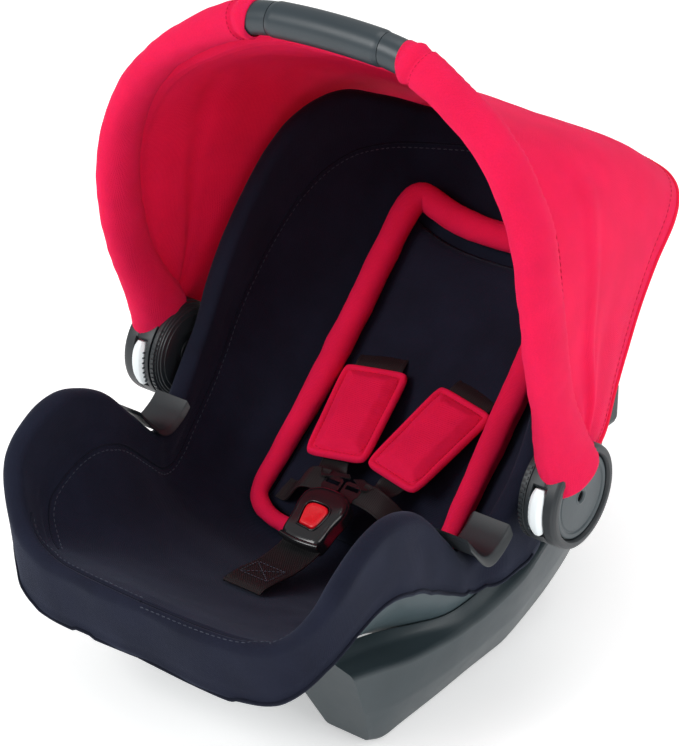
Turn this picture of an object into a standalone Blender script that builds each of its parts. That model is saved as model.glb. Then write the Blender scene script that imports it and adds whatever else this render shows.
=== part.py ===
"""Infant car seat (group 0+ carrier) built as separate solids, in metres, +Z up.

+X is the right-hand side seen from the foot end, -Y is the foot end, +Y the head end.
The bucket is described by a rim curve and a spine curve; every layer of it (cover, liner,
shell) is the same family of ribs between those two curves, at its own depth.
"""
import math

import bmesh
import bpy
import numpy as np
from mathutils import Vector
from mathutils.bvhtree import BVHTree

MM = 0.001
GAP = 0.5 * MM                   # air kept between touching pieces
FRAME_SHIFT_Y = -14.75 * MM      # puts the finished object's box centre on Y = 0

# hub and handle
HUB_Z = 182 * MM
HUB_RADIUS = 44 * MM
GRIP_HALF = 53 * MM
GRIP_RADIUS = 13.5 * MM
ARM_RADII = (9 * MM, 14 * MM)    # half thickness and half depth of an arm
SLEEVE_CLEAR = 1.5 * MM
SLEEVE_WALL = 2.0 * MM

# bucket
LIP_RADIUS = 9 * MM
COVER_THICK = 5 * MM
SHELL_WALL = 4 * MM
RIB_POWER = 0.77                 # 1 is a round section, smaller is boxier
SHELL_DEPTH = 19 * MM            # from the cover's face to the shell's inner face, mid section
SHELL_DEPTH_END = 10 * MM
RIB_ROWS = 27
RIB_COLUMNS = 8
LINER_COLUMNS = 6
LINER_GAP = 2 * MM
CANOPY_WALL = 2.5 * MM

# rim of the bucket, right half, from the foot end's middle to the head end's middle
RIM = [(0, -284, 135), (60, -284, 136), (98, -281, 140), (128, -273, 153), (149, -260, 180),
       (159, -245, 207), (161, -213, 228), (160, -178, 231), (157, -140, 213), (157, -108, 178),
       (157, -80, 147), (160, -57, 150), (165, -35, 170), (168, -14, 195), (168, 5, 225),
       (168, 32, 273), (166, 72, 323), (158, 114, 363), (146, 165, 378), (129, 206, 366),
       (104, 243, 348), (60, 271, 334), (0, 282, 328)]
# deepest line of the seat under each rim point
SPINE = [(-264, 142), (-257, 138), (-247, 132), (-231, 122), (-212, 112),
         (-192, 103), (-170, 95), (-148, 87), (-125, 79), (-101, 71),
         (-78, 64), (-56, 60), (-33, 60), (-6, 66), (24, 84),
         (58, 109), (94, 138), (130, 170), (165, 205), (197, 241),
         (221, 269), (238, 290), (247, 303)]

ROWS = np.linspace(0, len(RIM) - 1, RIB_ROWS)
ANGLES = np.linspace(0, math.pi / 2, RIB_COLUMNS + 1)
COLLECTION = "infant_car_seat"


# ------------------------------------------------------------------ scene helpers
def clear_scene():
    for obj in list(bpy.data.objects):
        bpy.data.objects.remove(obj, do_unlink=True)


def new_collection(name):
    collection = bpy.data.collections.new(name)
    bpy.context.scene.collection.children.link(collection)
    return collection


def make_material(name, color, roughness, metallic=0.0):
    material = bpy.data.materials.new(name)
    material.use_nodes = True
    shader = material.node_tree.nodes["Principled BSDF"]
    shader.inputs["Base Color"].default_value = (*color, 1.0)
    shader.inputs["Roughness"].default_value = roughness
    shader.inputs["Metallic"].default_value = metallic
    return material


def add_object(name, mesh, material, collection=None, smooth=True):
    obj = bpy.data.objects.new(name, mesh)
    (collection or PARTS).objects.link(obj)
    if material is not None:
        mesh.materials.append(material)
    if smooth:
        mesh.shade_smooth()
        mesh.set_sharp_from_angle(angle=math.radians(40))
    return obj


def finish_bmesh(name, bm, merge=1e-6):
    bmesh.ops.remove_doubles(bm, verts=bm.verts, dist=merge)
    bmesh.ops.dissolve_degenerate(bm, edges=bm.edges, dist=1e-7)
    bmesh.ops.recalc_face_normals(bm, faces=bm.faces)
    mesh = bpy.data.meshes.new(name)
    bm.to_mesh(mesh)
    bm.free()
    return mesh


def loft(name, rings, material, smooth=True, closed=False, collection=None):
    """A closed solid through rings of equal length; the end rings are capped."""
    bm = bmesh.new()
    rows = [[bm.verts.new(point) for point in ring] for ring in rings]
    count = len(rows[0])
    pairs = list(zip(rows, rows[1:])) + ([(rows[-1], rows[0])] if closed else [])
    for low, high in pairs:
        for i in range(count):
            j = (i + 1) % count
            bm.faces.new((low[i], low[j], high[j], high[i]))
    if not closed:
        bm.faces.new(rows[0][::-1])
        bm.faces.new(rows[-1])
    return add_object(name, finish_bmesh(name, bm), material, collection, smooth)


def cut(obj, cutter):
    cutter.hide_render = True
    cutter.display_type = "WIRE"
    modifier = obj.modifiers.new("cut_" + cutter.name, "BOOLEAN")
    modifier.operation = "DIFFERENCE"
    modifier.object = cutter


def box_mesh(name, size, material, center, rotation=None, bevel=0.0, collection=None):
    bm = bmesh.new()
    bmesh.ops.create_cube(bm, size=1.0)
    bmesh.ops.scale(bm, vec=size, verts=bm.verts)
    obj = add_object(name, finish_bmesh(name, bm), material, collection, smooth=False)
    if bevel:
        modifier = obj.modifiers.new("rounding", "BEVEL")
        modifier.width = bevel
        modifier.segments = 2
    obj.location = center
    if rotation is not None:
        obj.rotation_euler = rotation
    return obj


def turned(name, profile, material, side, steps=22, collection=None):
    """A profile of (radius, distance along X) turned round the hub axis on one side."""
    bm = bmesh.new()
    verts = [bm.verts.new((radius, 0.0, x)) for radius, x in profile]
    on_axis = profile[0][0] == 0.0
    for a, b in zip(verts, verts[1:]):
        bm.edges.new((a, b))
    if not on_axis:
        bm.edges.new((verts[-1], verts[0]))
    mesh = bpy.data.meshes.new(name)
    bm.to_mesh(mesh)
    bm.free()
    obj = add_object(name, mesh, material, collection, smooth=False)
    modifier = obj.modifiers.new("turn", "SCREW")
    modifier.angle = math.tau
    modifier.screw_offset = 0.0
    modifier.steps = steps
    modifier.render_steps = steps
    modifier.use_merge_vertices = True
    modifier.merge_threshold = 1e-5
    modifier.use_smooth_shade = False
    obj.location = (0.0, 0.0, HUB_Z)
    obj.rotation_euler = (0.0, side * math.pi / 2, 0.0)
    return obj


# ------------------------------------------------------------------ curves
def spline(points, u):
    """Catmull-Rom through the points, u running from 0 to len(points) - 1."""
    points = np.asarray(points, dtype=float)
    last = len(points) - 1
    i = min(int(u), last - 1)
    t = u - i
    p0, p1 = points[max(i - 1, 0)], points[i]
    p2, p3 = points[i + 1], points[min(i + 2, last)]
    return 0.5 * (2 * p1 + (p2 - p0) * t + (2 * p0 - 5 * p1 + 4 * p2 - p3) * t ** 2
                  + (3 * p1 - p0 - 3 * p2 + p3) * t ** 3)


def resample(points, count):
    """Points equally spaced by length along the spline."""
    dense = np.array([spline(points, u) for u in np.linspace(0, len(points) - 1, 40 * len(points))])
    length = np.concatenate([[0], np.cumsum(np.linalg.norm(np.diff(dense, axis=0), axis=1))])
    marks = np.linspace(0, length[-1], count)
    return np.array([[np.interp(m, length, dense[:, k]) for k in range(dense.shape[1])] for m in marks])


def unit(vector):
    return np.asarray(vector, dtype=float) / np.linalg.norm(vector)


# ------------------------------------------------------------------ the bucket's ribs
def rim_point(u):
    return spline(RIM, u) * MM


def spine_point(u):
    y, z = spline(SPINE, u) * MM
    return np.array([0.0, y, z])


def rim_frame(u):
    """Directions at the rim: up the wall, and outward across the lip."""
    end = len(RIM) - 1
    ahead, behind = rim_point(min(u + 0.05, end)), rim_point(max(u - 0.05, 0))
    along = unit(ahead - behind)
    up = rim_point(u) - spine_point(u)
    up[0] = 0.0
    up = unit(up)
    return up, unit(np.cross(along, up))


def spine_normal(u):
    """Away from the child, square to the spine."""
    end = len(SPINE) - 1
    along = unit(spine_point(min(u + 0.1, end)) - spine_point(max(u - 0.1, 0)))
    return np.array([0.0, along[2], -along[1]])


def section_height(u):
    return np.linalg.norm(rim_point(u) - spine_point(u))


def rib_point(u, angle, depth, across, short=0.0):
    """On the rib at u: angle 0 is the spine and 90 degrees the lip; depth is measured away
    from the child at the spine, across is measured outward from the lip's middle, and short
    is how far below that middle the rib stops."""
    up, out = rim_frame(u)
    low = spine_point(u) + depth * spine_normal(u)
    high = rim_point(u) - (LIP_RADIUS + short) * up + across * out
    rise = 1.0 - math.cos(angle) ** RIB_POWER if angle < math.pi / 2 else 1.0
    point = low + (high - low) * rise
    point[0] = high[0] * math.sin(angle) ** RIB_POWER
    return point


def hang_direction(u):
    """The way the cover hangs outside the lip: straight down at the foot end, back along the
    wall everywhere else."""
    up, _ = rim_frame(u)
    along_wall = min(max((u - 3.0) / 3.0, 0.0), 1.0)
    return unit(np.array((0.0, 0.0, -1.0)) * (1.0 - along_wall) - up * along_wall)


def lip_arc(u, radius, steps=5):
    """Arc over the lip, from the inside face round to where the cover hangs down."""
    up, out = rim_frame(u)
    middle = rim_point(u) - LIP_RADIUS * up
    hang = hang_direction(u)
    sweep = math.atan2(max(np.dot(hang, out), 0.0), np.dot(hang, up))
    angles = [sweep * k / steps for k in range(1, steps + 1)]
    return [middle - radius * math.cos(a) * out + radius * math.sin(a) * up for a in angles]


def shell_depth(u):
    blend = min(max((section_height(u) - 40 * MM) / (70 * MM), 0.0), 1.0)
    return SHELL_DEPTH_END + (SHELL_DEPTH - SHELL_DEPTH_END) * blend


def skirt_length(u):
    """How far the cover hangs outside: a front apron, long wings, and a tail before the hub."""
    return float(np.interp(u, [0, 2, 3, 4, 5, 6, 7, 8, 9, 10, 11, 12, 13, 13.6, 14.4, 15.5, 22],
                           [40, 42, 44, 42, 46, 58, 68, 66, 45, 24, 32, 56, 78, 86, 20, 6, 4])) * MM


def cover_rib(u):
    skirt = skirt_length(u) * hang_direction(u)
    face = [rib_point(u, a, 0.0, -LIP_RADIUS) for a in ANGLES] + lip_arc(u, LIP_RADIUS)
    face.append(face[-1] + skirt)
    inner = LIP_RADIUS - COVER_THICK * 0.8
    back = [rib_point(u, a, COVER_THICK, -inner) for a in ANGLES] + lip_arc(u, inner)
    back.append(back[-1] + skirt)
    return face, back


def shell_rib(u):
    """Inside the lip's middle, but lower and further out at the foot end, where the ribs
    lie nearly along the cover."""
    depth = shell_depth(u)
    at_end = float(np.interp(u, [2.0, 3.5], [1.0, 0.0]))
    across = (5.0 * at_end - 2.0) * MM
    short = (5.5 * at_end - 1.5) * MM
    face = [rib_point(u, a, depth, across, short) for a in ANGLES]
    back = [rib_point(u, a, depth + SHELL_WALL, across + SHELL_WALL, short) for a in ANGLES]
    return face, back


def liner_rib(u):
    """Foam between cover and shell, stopping short of the lip."""
    angles = ANGLES[:LINER_COLUMNS]
    face = [rib_point(u, a, COVER_THICK + LINER_GAP, -LIP_RADIUS * 0.4) for a in angles]
    back = [rib_point(u, a, shell_depth(u) - LINER_GAP, -LIP_RADIUS * 0.4) for a in angles]
    return face, back


def bucket_layer(name, rib, rows, material):
    """A closed sheet: the ribs of both sides, front face and back face, joined at the hems."""
    bm = bmesh.new()

    def row(points, side):
        return [bm.verts.new((side * p[0], p[1], p[2])) for p in points]

    ribs = [rib(u) for u in rows]
    for side in (1, -1):
        faces = [row(face, side) for face, _ in ribs]
        backs = [row(back, side) for _, back in ribs]
        for rows_of in (faces, backs):
            for low, high in zip(rows_of, rows_of[1:]):
                for i in range(len(low) - 1):
                    bm.faces.new((low[i], low[i + 1], high[i + 1], high[i]))
        for i in range(len(faces) - 1):
            bm.faces.new((faces[i][-1], backs[i][-1], backs[i + 1][-1], faces[i + 1][-1]))
        for end in (0, -1):
            face, back = faces[end], backs[end]
            if abs(face[-1].co.x) > 1e-6:
                for i in range(len(face) - 1):
                    bm.faces.new((face[i], face[i + 1], back[i + 1], back[i]))
    return add_object(name, finish_bmesh(name, bm, merge=1e-5), material)


def face_normal(u, angle):
    """Towards the child, square to the cover's face."""
    step = 0.02
    a = rib_point(u + step, angle, 0, -LIP_RADIUS) - rib_point(u - step, angle, 0, -LIP_RADIUS)
    b = rib_point(u, angle + step, 0, -LIP_RADIUS) - rib_point(u, max(angle - step, 1e-4), 0, -LIP_RADIUS)
    return unit(np.cross(b, a)) * (1 if np.cross(b, a)[2] > 0 else -1)


def angle_at(u, x):
    """The rib angle whose cover face is x from the middle."""
    high = rib_point(u, math.pi / 2, 0, -LIP_RADIUS)[0]
    return math.asin(min(abs(x) / high, 1.0) ** (1 / RIB_POWER))


def on_cover(u, x, lift):
    """A point above the cover's face at width x."""
    angle = max(angle_at(u, x), 1e-3)
    point = rib_point(u, angle, 0, -LIP_RADIUS) + lift * face_normal(u, angle)
    side = 1 if x >= 0 else -1
    return np.array([side * point[0] if abs(x) > 1e-9 else 0.0, point[1], point[2]])


# ------------------------------------------------------------------ shell body
def make_bucket():
    bucket_layer("seat_cover", cover_rib, ROWS, FABRIC_NAVY)
    bucket_layer("foam_liner", liner_rib, ROWS[16:24], FOAM)
    return bucket_layer("outer_shell", shell_rib, ROWS, PLASTIC_SHELL)


# rocker panel: bottom edge (y, z), outer top edge (y, z), inner and outer x at the bottom, outer x on top
ROCKER = [((-166, 6), (-196, 88), 92, 134, 141), ((-150, 1), (-166, 82), 88, 137, 146),
          ((-125, 0), (-135, 77), 87, 137, 153), ((-80, 0), (-90, 75), 88, 138, 160),
          ((-55, 0), (-68, 77), 89, 138, 163), ((-30, 0), (-45, 80), 90, 138, 166),
          ((12, 0), (-5, 92), 94, 139, 171),
          ((50, 10), (25, 108), 98, 140, 172), ((85, 26), (50, 126), 103, 142, 175),
          ((118, 48), (70, 146), 108, 143, 175), ((138, 85), (82, 163), 114, 144, 174),
          ((154, 127), (92, 183), 118, 144, 172), ((169, 167), (102, 205), 122, 144, 170),
          ((183, 200), (114, 230), 126, 144, 167), ((199, 226), (135, 252), 130, 144, 163),
          ((216, 272), (163, 286), 134, 142, 156)]
ROCKER_WALL = 3 * MM
ROCKER_RISE = 12 * MM            # how far the wall climbs from its ridge to meet the shell
ROCKER_CLEAR = 8 * MM
GUIDE_X = (148 * MM, 180 * MM)
GUIDE_LIFT = 3 * MM
GUIDE_WALL = 3.5 * MM


def rocker_ring(tree, bottom, top, inner, outer, top_outer, wall, side):
    """Cross-section from the rocking edge up to the ridge and in to the shell. With a wall
    it is the hollow of that section, open towards the middle of the seat."""
    yb, zb = bottom[0] * MM, bottom[1] * MM
    yt, zt = top[0] * MM, top[1] * MM
    open_side = 30 * MM if wall else 0.0
    hit = tree.ray_cast(Vector((0.3, yt, zt + ROCKER_RISE)), Vector((-1, 0, 0)))[0]
    x_low = inner * MM - open_side
    x_high, x_ridge = outer * MM - wall, top_outer * MM - wall
    x_shell = min(hit.x + ROCKER_CLEAR, x_ridge - 5 * MM)
    middle_y, middle_z = yb + 0.45 * (yt - yb), zb + 0.45 * (zt - zb)
    lean = 16 * MM * min(max((-80 * MM - yb) / (60 * MM), 0.0), 1.0)
    points = [(x_low - lean, middle_y, middle_z), (x_low, yb, zb + wall), (x_high - 3 * MM, yb, zb + wall),
              (x_high, yb + 0.04 * (yt - yb), zb + wall + 3 * MM),
              ((x_high + x_ridge) / 2 + 2 * MM, middle_y, middle_z),
              (x_ridge, yt, zt - 3 * MM - wall), (x_ridge - 3 * MM, yt, zt - wall),
              (x_shell + 0.3 * (x_ridge - x_shell), yt, zt + 0.35 * ROCKER_RISE - wall),
              (x_shell - open_side, yt, zt + ROCKER_RISE - wall)]
    return [(side * x, y, z) for x, y, z in points]


def make_rockers(shell):
    bpy.context.view_layer.update()
    tree = BVHTree.FromObject(shell, bpy.context.evaluated_depsgraph_get())
    for side, word in SIDES:
        rings = [rocker_ring(tree, *station, 0.0, side) for station in ROCKER]
        body = loft("rocker_" + word, rings, PLASTIC_SHELL)
        hollow = [rocker_ring(tree, *station, ROCKER_WALL, side) for station in ROCKER[1:-1]]
        cut(body, loft("rocker_hollow_" + word, hollow, None, collection=CUTTERS))


def make_rear_hook():
    """Grey bracket behind the head end and the dark hook that holds the vehicle's belt."""
    box_mesh("rear_bracket", (0.238, 0.032, 0.024), PLASTIC_SHELL, (0, 0.1935, 0.166), bevel=0.003)
    hook = box_mesh("rear_belt_hook", (0.236, 0.034, 0.041), PLASTIC_DARK, (0, 0.209, 0.1325), bevel=0.006)
    slot = box_mesh("belt_hook_slot", (0.180, 0.012, 0.060), None, (0, 0.2165, 0.1275), collection=CUTTERS)
    cut(hook, slot)


def make_belt_guides():
    """Dark saddles over the rim notches, where the vehicle's lap belt lies."""
    for side, word in SIDES:
        rings = []
        for u in np.linspace(9.1, 11.5, 9):
            up, _ = rim_frame(u)
            low = rim_point(u) + GUIDE_LIFT * up
            high = low + GUIDE_WALL * up
            rings.append([(side * x, p[1], p[2]) for x, p in
                          ((GUIDE_X[0], low), (GUIDE_X[1], low), (GUIDE_X[1], high), (GUIDE_X[0], high))])
        loft("belt_guide_" + word, rings, PLASTIC_DARK, smooth=False)


# ------------------------------------------------------------------ hubs
def make_hub(side, word):
    mm = MM
    base = [(6.4, 191), (43, 191), (43, 186.5), (40.5, 186.5), (40.5, 184.5), (37.5, 184.5),
            (37.5, 183), (34, 183), (34, 181), (6.4, 181)]
    turned("hub_base_" + word, [(r * mm, x * mm) for r, x in base], PLASTIC_DARK, side)
    box_mesh("hub_bracket_" + word, (0.0110, 0.034, 0.036), PLASTIC_SHELL,
             (side * 0.1750, 0.030, 0.1500), bevel=0.002)
    axle = [(0, 213), (6.0, 213), (6.0, 181.2), (0, 181.2)]
    turned("hub_axle_" + word, [(r * mm, x * mm) for r, x in axle], STEEL, side, steps=24)

    case = [(6.4, 214.6), (36, 214.6), (36, 219), (37, 220), (41, 220), (43, 219), (44, 216),
            (44, 192), (41, 192), (41, 211), (6.4, 211)]
    housing = turned("hub_housing_" + word, [(r * mm, x * mm) for r, x in case], PLASTIC_DARK, side, steps=28)
    window = box_mesh("button_window_" + word, (13.2 * mm, 22 * mm, 45.6 * mm), None,
                      (side * 202.5 * mm, -39 * mm, HUB_Z), collection=CUTTERS)
    cut(housing, window)
    cap = [(4.5, 217.2), (30.5, 217.2), (30.5, 216.4), (32.5, 216.4), (32.5, 217.8), (35.4, 217.8),
           (35.4, 215.1), (4.5, 215.1)]
    turned("hub_cap_" + word, [(r * mm, x * mm) for r, x in cap], PLASTIC_HUB, side, steps=26)
    make_lock_gear(side, word)
    make_button(side, word)
    make_lock_spring(side, word)


def make_lock_gear(side, word):
    """Toothed ring that a pressed button frees from the hub base."""
    teeth, count = 14, 56
    turn = [math.tau * k / count for k in range(count)]
    tip, root, bore = 31 * MM, 28.5 * MM, 13 * MM

    def ring(x, inner):
        radii = [bore if inner else (tip if (k * teeth * 2 // count) % 2 else root) for k in range(count)]
        return [(side * x, r * math.cos(a), HUB_Z + r * math.sin(a)) for a, r in zip(turn, radii)]

    low, high = 196.5 * MM, 203.5 * MM
    rings = [ring(low, False), ring(high, False), ring(high, True), ring(low, True)]
    loft("lock_gear_" + word, rings, STEEL, smooth=False, closed=True)


def make_button(side, word):
    """Curved bar in the hub's front wall, faceted, narrower at its two ends."""
    rings = []
    for k in range(-6, 7):
        angle = math.radians(27.5) * k / 6
        half = (6.2 - 2.4 * (abs(k) / 6) ** 4) * MM
        proud = (47.2 - 1.6 * (abs(k) / 6) ** 3) * MM
        inner = 37.5 * MM
        section = [(202.5 * MM - half, inner), (202.5 * MM - half, proud - 2.2 * MM),
                   (202.5 * MM - 0.45 * half, proud), (202.5 * MM + 0.45 * half, proud),
                   (202.5 * MM + half, proud - 2.2 * MM), (202.5 * MM + half, inner)]
        rings.append([(side * x, -r * math.cos(angle), HUB_Z + r * math.sin(angle)) for x, r in section])
    loft("release_button_" + word, rings, PLASTIC_WHITE, smooth=False)


def make_lock_spring(side, word):
    turns, steps, radius = 2.5, 9, 10 * MM
    curve = bpy.data.curves.new("lock_spring_" + word, "CURVE")
    curve.dimensions = "3D"
    curve.bevel_depth = 0.7 * MM
    curve.bevel_resolution = 2
    curve.use_fill_caps = True
    line = curve.splines.new("POLY")
    count = int(turns * steps)
    line.points.add(count)
    start, length = 204.9 * MM, 4.9 * MM
    for k in range(count + 1):
        a = math.tau * k / steps
        x = side * (start + length * k / count)
        line.points[k].co = (x, radius * math.cos(a), HUB_Z + radius * math.sin(a), 1.0)
    curve.materials.append(STEEL)
    obj = bpy.data.objects.new("lock_spring_" + word, curve)
    PARTS.objects.link(obj)


# ------------------------------------------------------------------ handle
ARM_PATH = [(205, -2, 200), (206, -14, 228), (209, -36, 280), (209, -49, 325), (206, -54, 370),
            (198, -53, 412), (183, -50, 447), (160, -46, 476), (130, -43, 499), (97, -40, 517),
            (72, -39, 526), (53.3, -39, 529.5)]


def arm_ring(path, k, grow, side, count=12):
    """Oval section of the arm: flat at the sides of the handle, round towards the grip."""
    here = path[k]
    along = unit(path[min(k + 1, len(path) - 1)] - path[max(k - 1, 0)])
    if k == len(path) - 1:
        along = np.array((-1.0, 0.0, 0.0))
    across = unit(np.cross(along, (0.0, 1.0, 0.0)))
    deep = unit(np.cross(along, across))
    share = min(max((210 * MM - here[0]) / (130 * MM), 0.0), 1.0)
    thin = ARM_RADII[0] + (GRIP_RADIUS - ARM_RADII[0]) * share + grow
    wide = ARM_RADII[1] + (GRIP_RADIUS - ARM_RADII[1]) * share + grow
    ring = []
    for i in range(count):
        a = math.tau * i / count
        p = here + thin * math.cos(a) * across + wide * math.sin(a) * deep
        ring.append((side * p[0], p[1], p[2]))
    return ring


def make_handle():
    path = resample(ARM_PATH, 17) * MM
    for side, word in SIDES:
        arm = loft("handle_arm_" + word, [arm_ring(path, k, 0.0, side) for k in range(len(path))],
                   PLASTIC_GRIP)
        room = turned("hub_room_" + word, [(0, 0.224), (HUB_RADIUS + GAP, 0.224),
                                           (HUB_RADIUS + GAP, 0.186), (0, 0.186)],
                      None, side, steps=36, collection=CUTTERS)
        cut(arm, room)
        first = next(k for k, p in enumerate(path) if p[2] > HUB_Z + 53 * MM)
        last = max(k for k, p in enumerate(path) if p[0] > 71 * MM)
        span = range(first, last + 1)
        outside = [arm_ring(path, k, SLEEVE_CLEAR + SLEEVE_WALL, side) for k in span]
        inside = [arm_ring(path, k, SLEEVE_CLEAR, side) for k in span]
        loft("canopy_sleeve_" + word, outside + inside[::-1], FABRIC_RED, closed=True)
    rings = []
    for k in range(13):
        t = -1 + k / 6
        x = t * (GRIP_HALF - 0.3 * MM)
        z = (531.5 - 2 * t * t) * MM
        radius = GRIP_RADIUS + (0.8 * MM if abs(t) < 0.99 else 0.2 * MM)
        rings.append([(x, -39 * MM + radius * math.cos(a), z + radius * math.sin(a))
                      for a in (math.tau * i / 18 for i in range(18))])
    loft("handle_grip", rings, PLASTIC_GRIP)


# ------------------------------------------------------------------ canopy
# hoops of the hood from its lower tip to the middle: halfway back, and its rear corner
CANOPY_MIDDLE = [(207, 22, 225), (202, 32, 248), (197, 46, 287), (193, 63, 330), (187, 81, 369),
                 (178, 99, 400), (162, 112, 418), (134, 121, 427), (101, 131, 427), (74, 138, 425),
                 (52, 142, 423), (0, 144, 421)]
CANOPY_REAR = [(204, 39, 214), (189, 76, 204), (178, 112, 226), (170, 150, 264), (168, 182, 300),
               (164, 210, 326), (152, 234, 336), (132, 255, 338), (104, 276, 336), (75, 288, 334),
               (50, 294, 332), (0, 298, 331)]
HOOD_DROP = 23 * MM              # the hood leaves the handle below its top


def make_canopy():
    """Hood from behind the handle to a rounded hem behind the head end."""
    front = [(207, 8, 233)] + [(x, y + 19.5, z) for x, y, z in ARM_PATH[2:]] + [(0, -19.5, 532)]
    count, rows = 16, 9
    hoops = [np.array([spline(hoop, u) for u in np.linspace(0, len(hoop) - 1, count)]) * MM
             for hoop in (front, CANOPY_MIDDLE, CANOPY_REAR)]
    hoops[0][:, 2] -= HOOD_DROP * np.clip((hoops[0][:, 2] - 0.37) / 0.13, 0, 1)
    grid = []
    for t in np.linspace(0, 1, rows + 1):
        weights = ((1 - t) * (1 - 2 * t), 4 * t * (1 - t), t * (2 * t - 1))
        grid.append(sum(weight * hoop for weight, hoop in zip(weights, hoops)))
    rear = hoops[2]
    for out, down in ((10, -20), (16, -40)):
        share = np.clip((np.arange(count) - 8) / 3, 0, 1)[:, None]
        outward = share * np.clip(1 - (rear[:, :1] / (150 * MM)) ** 2, 0, 1)
        away = rear - np.array((0, 60, 300)) * MM
        away[:, 2] = 0
        away /= np.linalg.norm(away, axis=1, keepdims=True)
        grid.append(rear + outward * away * out * MM + share * np.array((0, 0, down * MM)))
    sheet = np.array(grid)
    full = np.concatenate([sheet, (sheet * (-1, 1, 1))[:, ::-1][:, 1:]], axis=1)
    middle = np.array((0, 0.10, 0.20))
    du, dv = np.gradient(full, axis=0), np.gradient(full, axis=1)
    normals = np.cross(du, dv)
    length = np.linalg.norm(normals, axis=2, keepdims=True)
    normals = normals / np.maximum(length, 1e-9)
    flip = np.sign(np.sum(normals * (full - middle), axis=2, keepdims=True))
    inner = full - normals * flip * CANOPY_WALL
    bm = bmesh.new()
    outside = [[bm.verts.new(p) for p in row] for row in full]
    inside = [[bm.verts.new(p) for p in row] for row in inner]
    for rows_of in (outside, inside):
        for low, high in zip(rows_of, rows_of[1:]):
            for i in range(len(low) - 1):
                bm.faces.new((low[i], low[i + 1], high[i + 1], high[i]))
    border = [(r, 0) for r in range(len(full))] + [(len(full) - 1, c) for c in range(1, full.shape[1])]
    border += [(r, full.shape[1] - 1) for r in range(len(full) - 2, -1, -1)]
    border += [(0, c) for c in range(full.shape[1] - 2, -1, -1)]
    for (r, c), (s, d) in zip(border, border[1:]):
        bm.faces.new((outside[r][c], outside[s][d], inside[s][d], inside[r][c]))
    add_object("canopy", finish_bmesh("canopy", bm), FABRIC_RED)


# ------------------------------------------------------------------ infant insert
INSERT_ROWS = (11.9, 19.6)
INSERT_HALF = 98 * MM
ROLL_RADIUS = 12 * MM
COVER_CLEAR = 3 * MM             # room between the cover's facets and what lies on it
INSERT_LIFT = 15 * MM


def make_insert():
    low, high = INSERT_ROWS
    rows = np.linspace(low + 0.95, high - 0.8, 12)
    half = INSERT_HALF - ROLL_RADIUS - 7 * MM
    widths = np.linspace(-half, half, 13)
    bm = bmesh.new()
    layers = []
    for lift in (INSERT_LIFT, COVER_CLEAR):
        layers.append([[bm.verts.new(on_cover(u, x, lift)) for x in widths] for u in rows])
    for rows_of in layers:
        for a, b in zip(rows_of, rows_of[1:]):
            for i in range(len(a) - 1):
                bm.faces.new((a[i], a[i + 1], b[i + 1], b[i]))
    top, under = layers
    count = len(widths)
    for a in range(len(rows) - 1):
        for i in (0, count - 1):
            bm.faces.new((top[a][i], top[a + 1][i], under[a + 1][i], under[a][i]))
    for a in (0, len(rows) - 1):
        for i in range(count - 1):
            bm.faces.new((top[a][i], top[a][i + 1], under[a][i + 1], under[a][i]))
    add_object("infant_insert", finish_bmesh("infant_insert", bm), FABRIC_NAVY)

    edge = [(low, 30), (low + 0.05, 70), (low + 0.5, 94), (low + 1.2, 97), (14.5, 97), (17, 96),
            (high - 0.6, 93), (high - 0.1, 80), (high, 45), (high, 0)]
    half_route = resample([(u * 20, x) for u, x in edge], 24)
    route = [(u / 20, x) for u, x in half_route] + [(u / 20, -x) for u, x in half_route[::-1][1:]]
    middles = [on_cover(u, x * MM, ROLL_RADIUS + COVER_CLEAR) for u, x in route]
    rings = []
    for k, here in enumerate(middles):
        along = unit(middles[min(k + 1, len(middles) - 1)] - middles[max(k - 1, 0)])
        lift = unit(np.array((0.0, -0.62, 0.78)))
        across = unit(np.cross(along, lift))
        lift = np.cross(across, along)
        radius = ROLL_RADIUS * (0.55 if k in (0, len(middles) - 1) else 1.0)
        rings.append([here + radius * (math.cos(a) * across + math.sin(a) * lift)
                      for a in (math.tau * i / 8 for i in range(8))])
    loft("insert_roll", rings, FABRIC_RED)


# ------------------------------------------------------------------ harness
BUCKLE_AT = np.array((0.0, -57.0, 107.0)) * MM
BUCKLE_TILT = math.atan2(42, 84)
ALONG = np.array((0.0, math.cos(BUCKLE_TILT), math.sin(BUCKLE_TILT)))
FACE = np.array((0.0, -math.sin(BUCKLE_TILT), math.cos(BUCKLE_TILT)))
SLOT_ROW = 16.35
HIP_ROW = 13.2


def ribbon(name, points, width, thick, material, side_axis=(1.0, 0.0, 0.0), round_ends=0.0):
    """Flat band along a route; its width lies along side_axis."""
    points = [np.asarray(p, dtype=float) for p in points]
    rings = []
    for k, here in enumerate(points):
        along = unit(points[min(k + 1, len(points) - 1)] - points[max(k - 1, 0)])
        side = np.asarray(side_axis, dtype=float)
        side = unit(side - along * np.dot(side, along))
        up = np.cross(side, along)
        up = up if up[2] > 0 else -up
        wide = width / 2
        if round_ends and k in (0, len(points) - 1):
            wide -= round_ends
        edge = thick / 2 * 0.5
        rings.append([here + side * a + up * b for a, b in
                      ((-wide, edge), (-wide + edge, thick / 2), (wide - edge, thick / 2), (wide, edge),
                       (wide, -edge), (wide - edge, -thick / 2), (-wide + edge, -thick / 2),
                       (-wide, -edge))])
    return loft(name, rings, material)


def buckle_point(x, along, up):
    return BUCKLE_AT + np.array((x, 0, 0)) + ALONG * along + FACE * up


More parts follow.
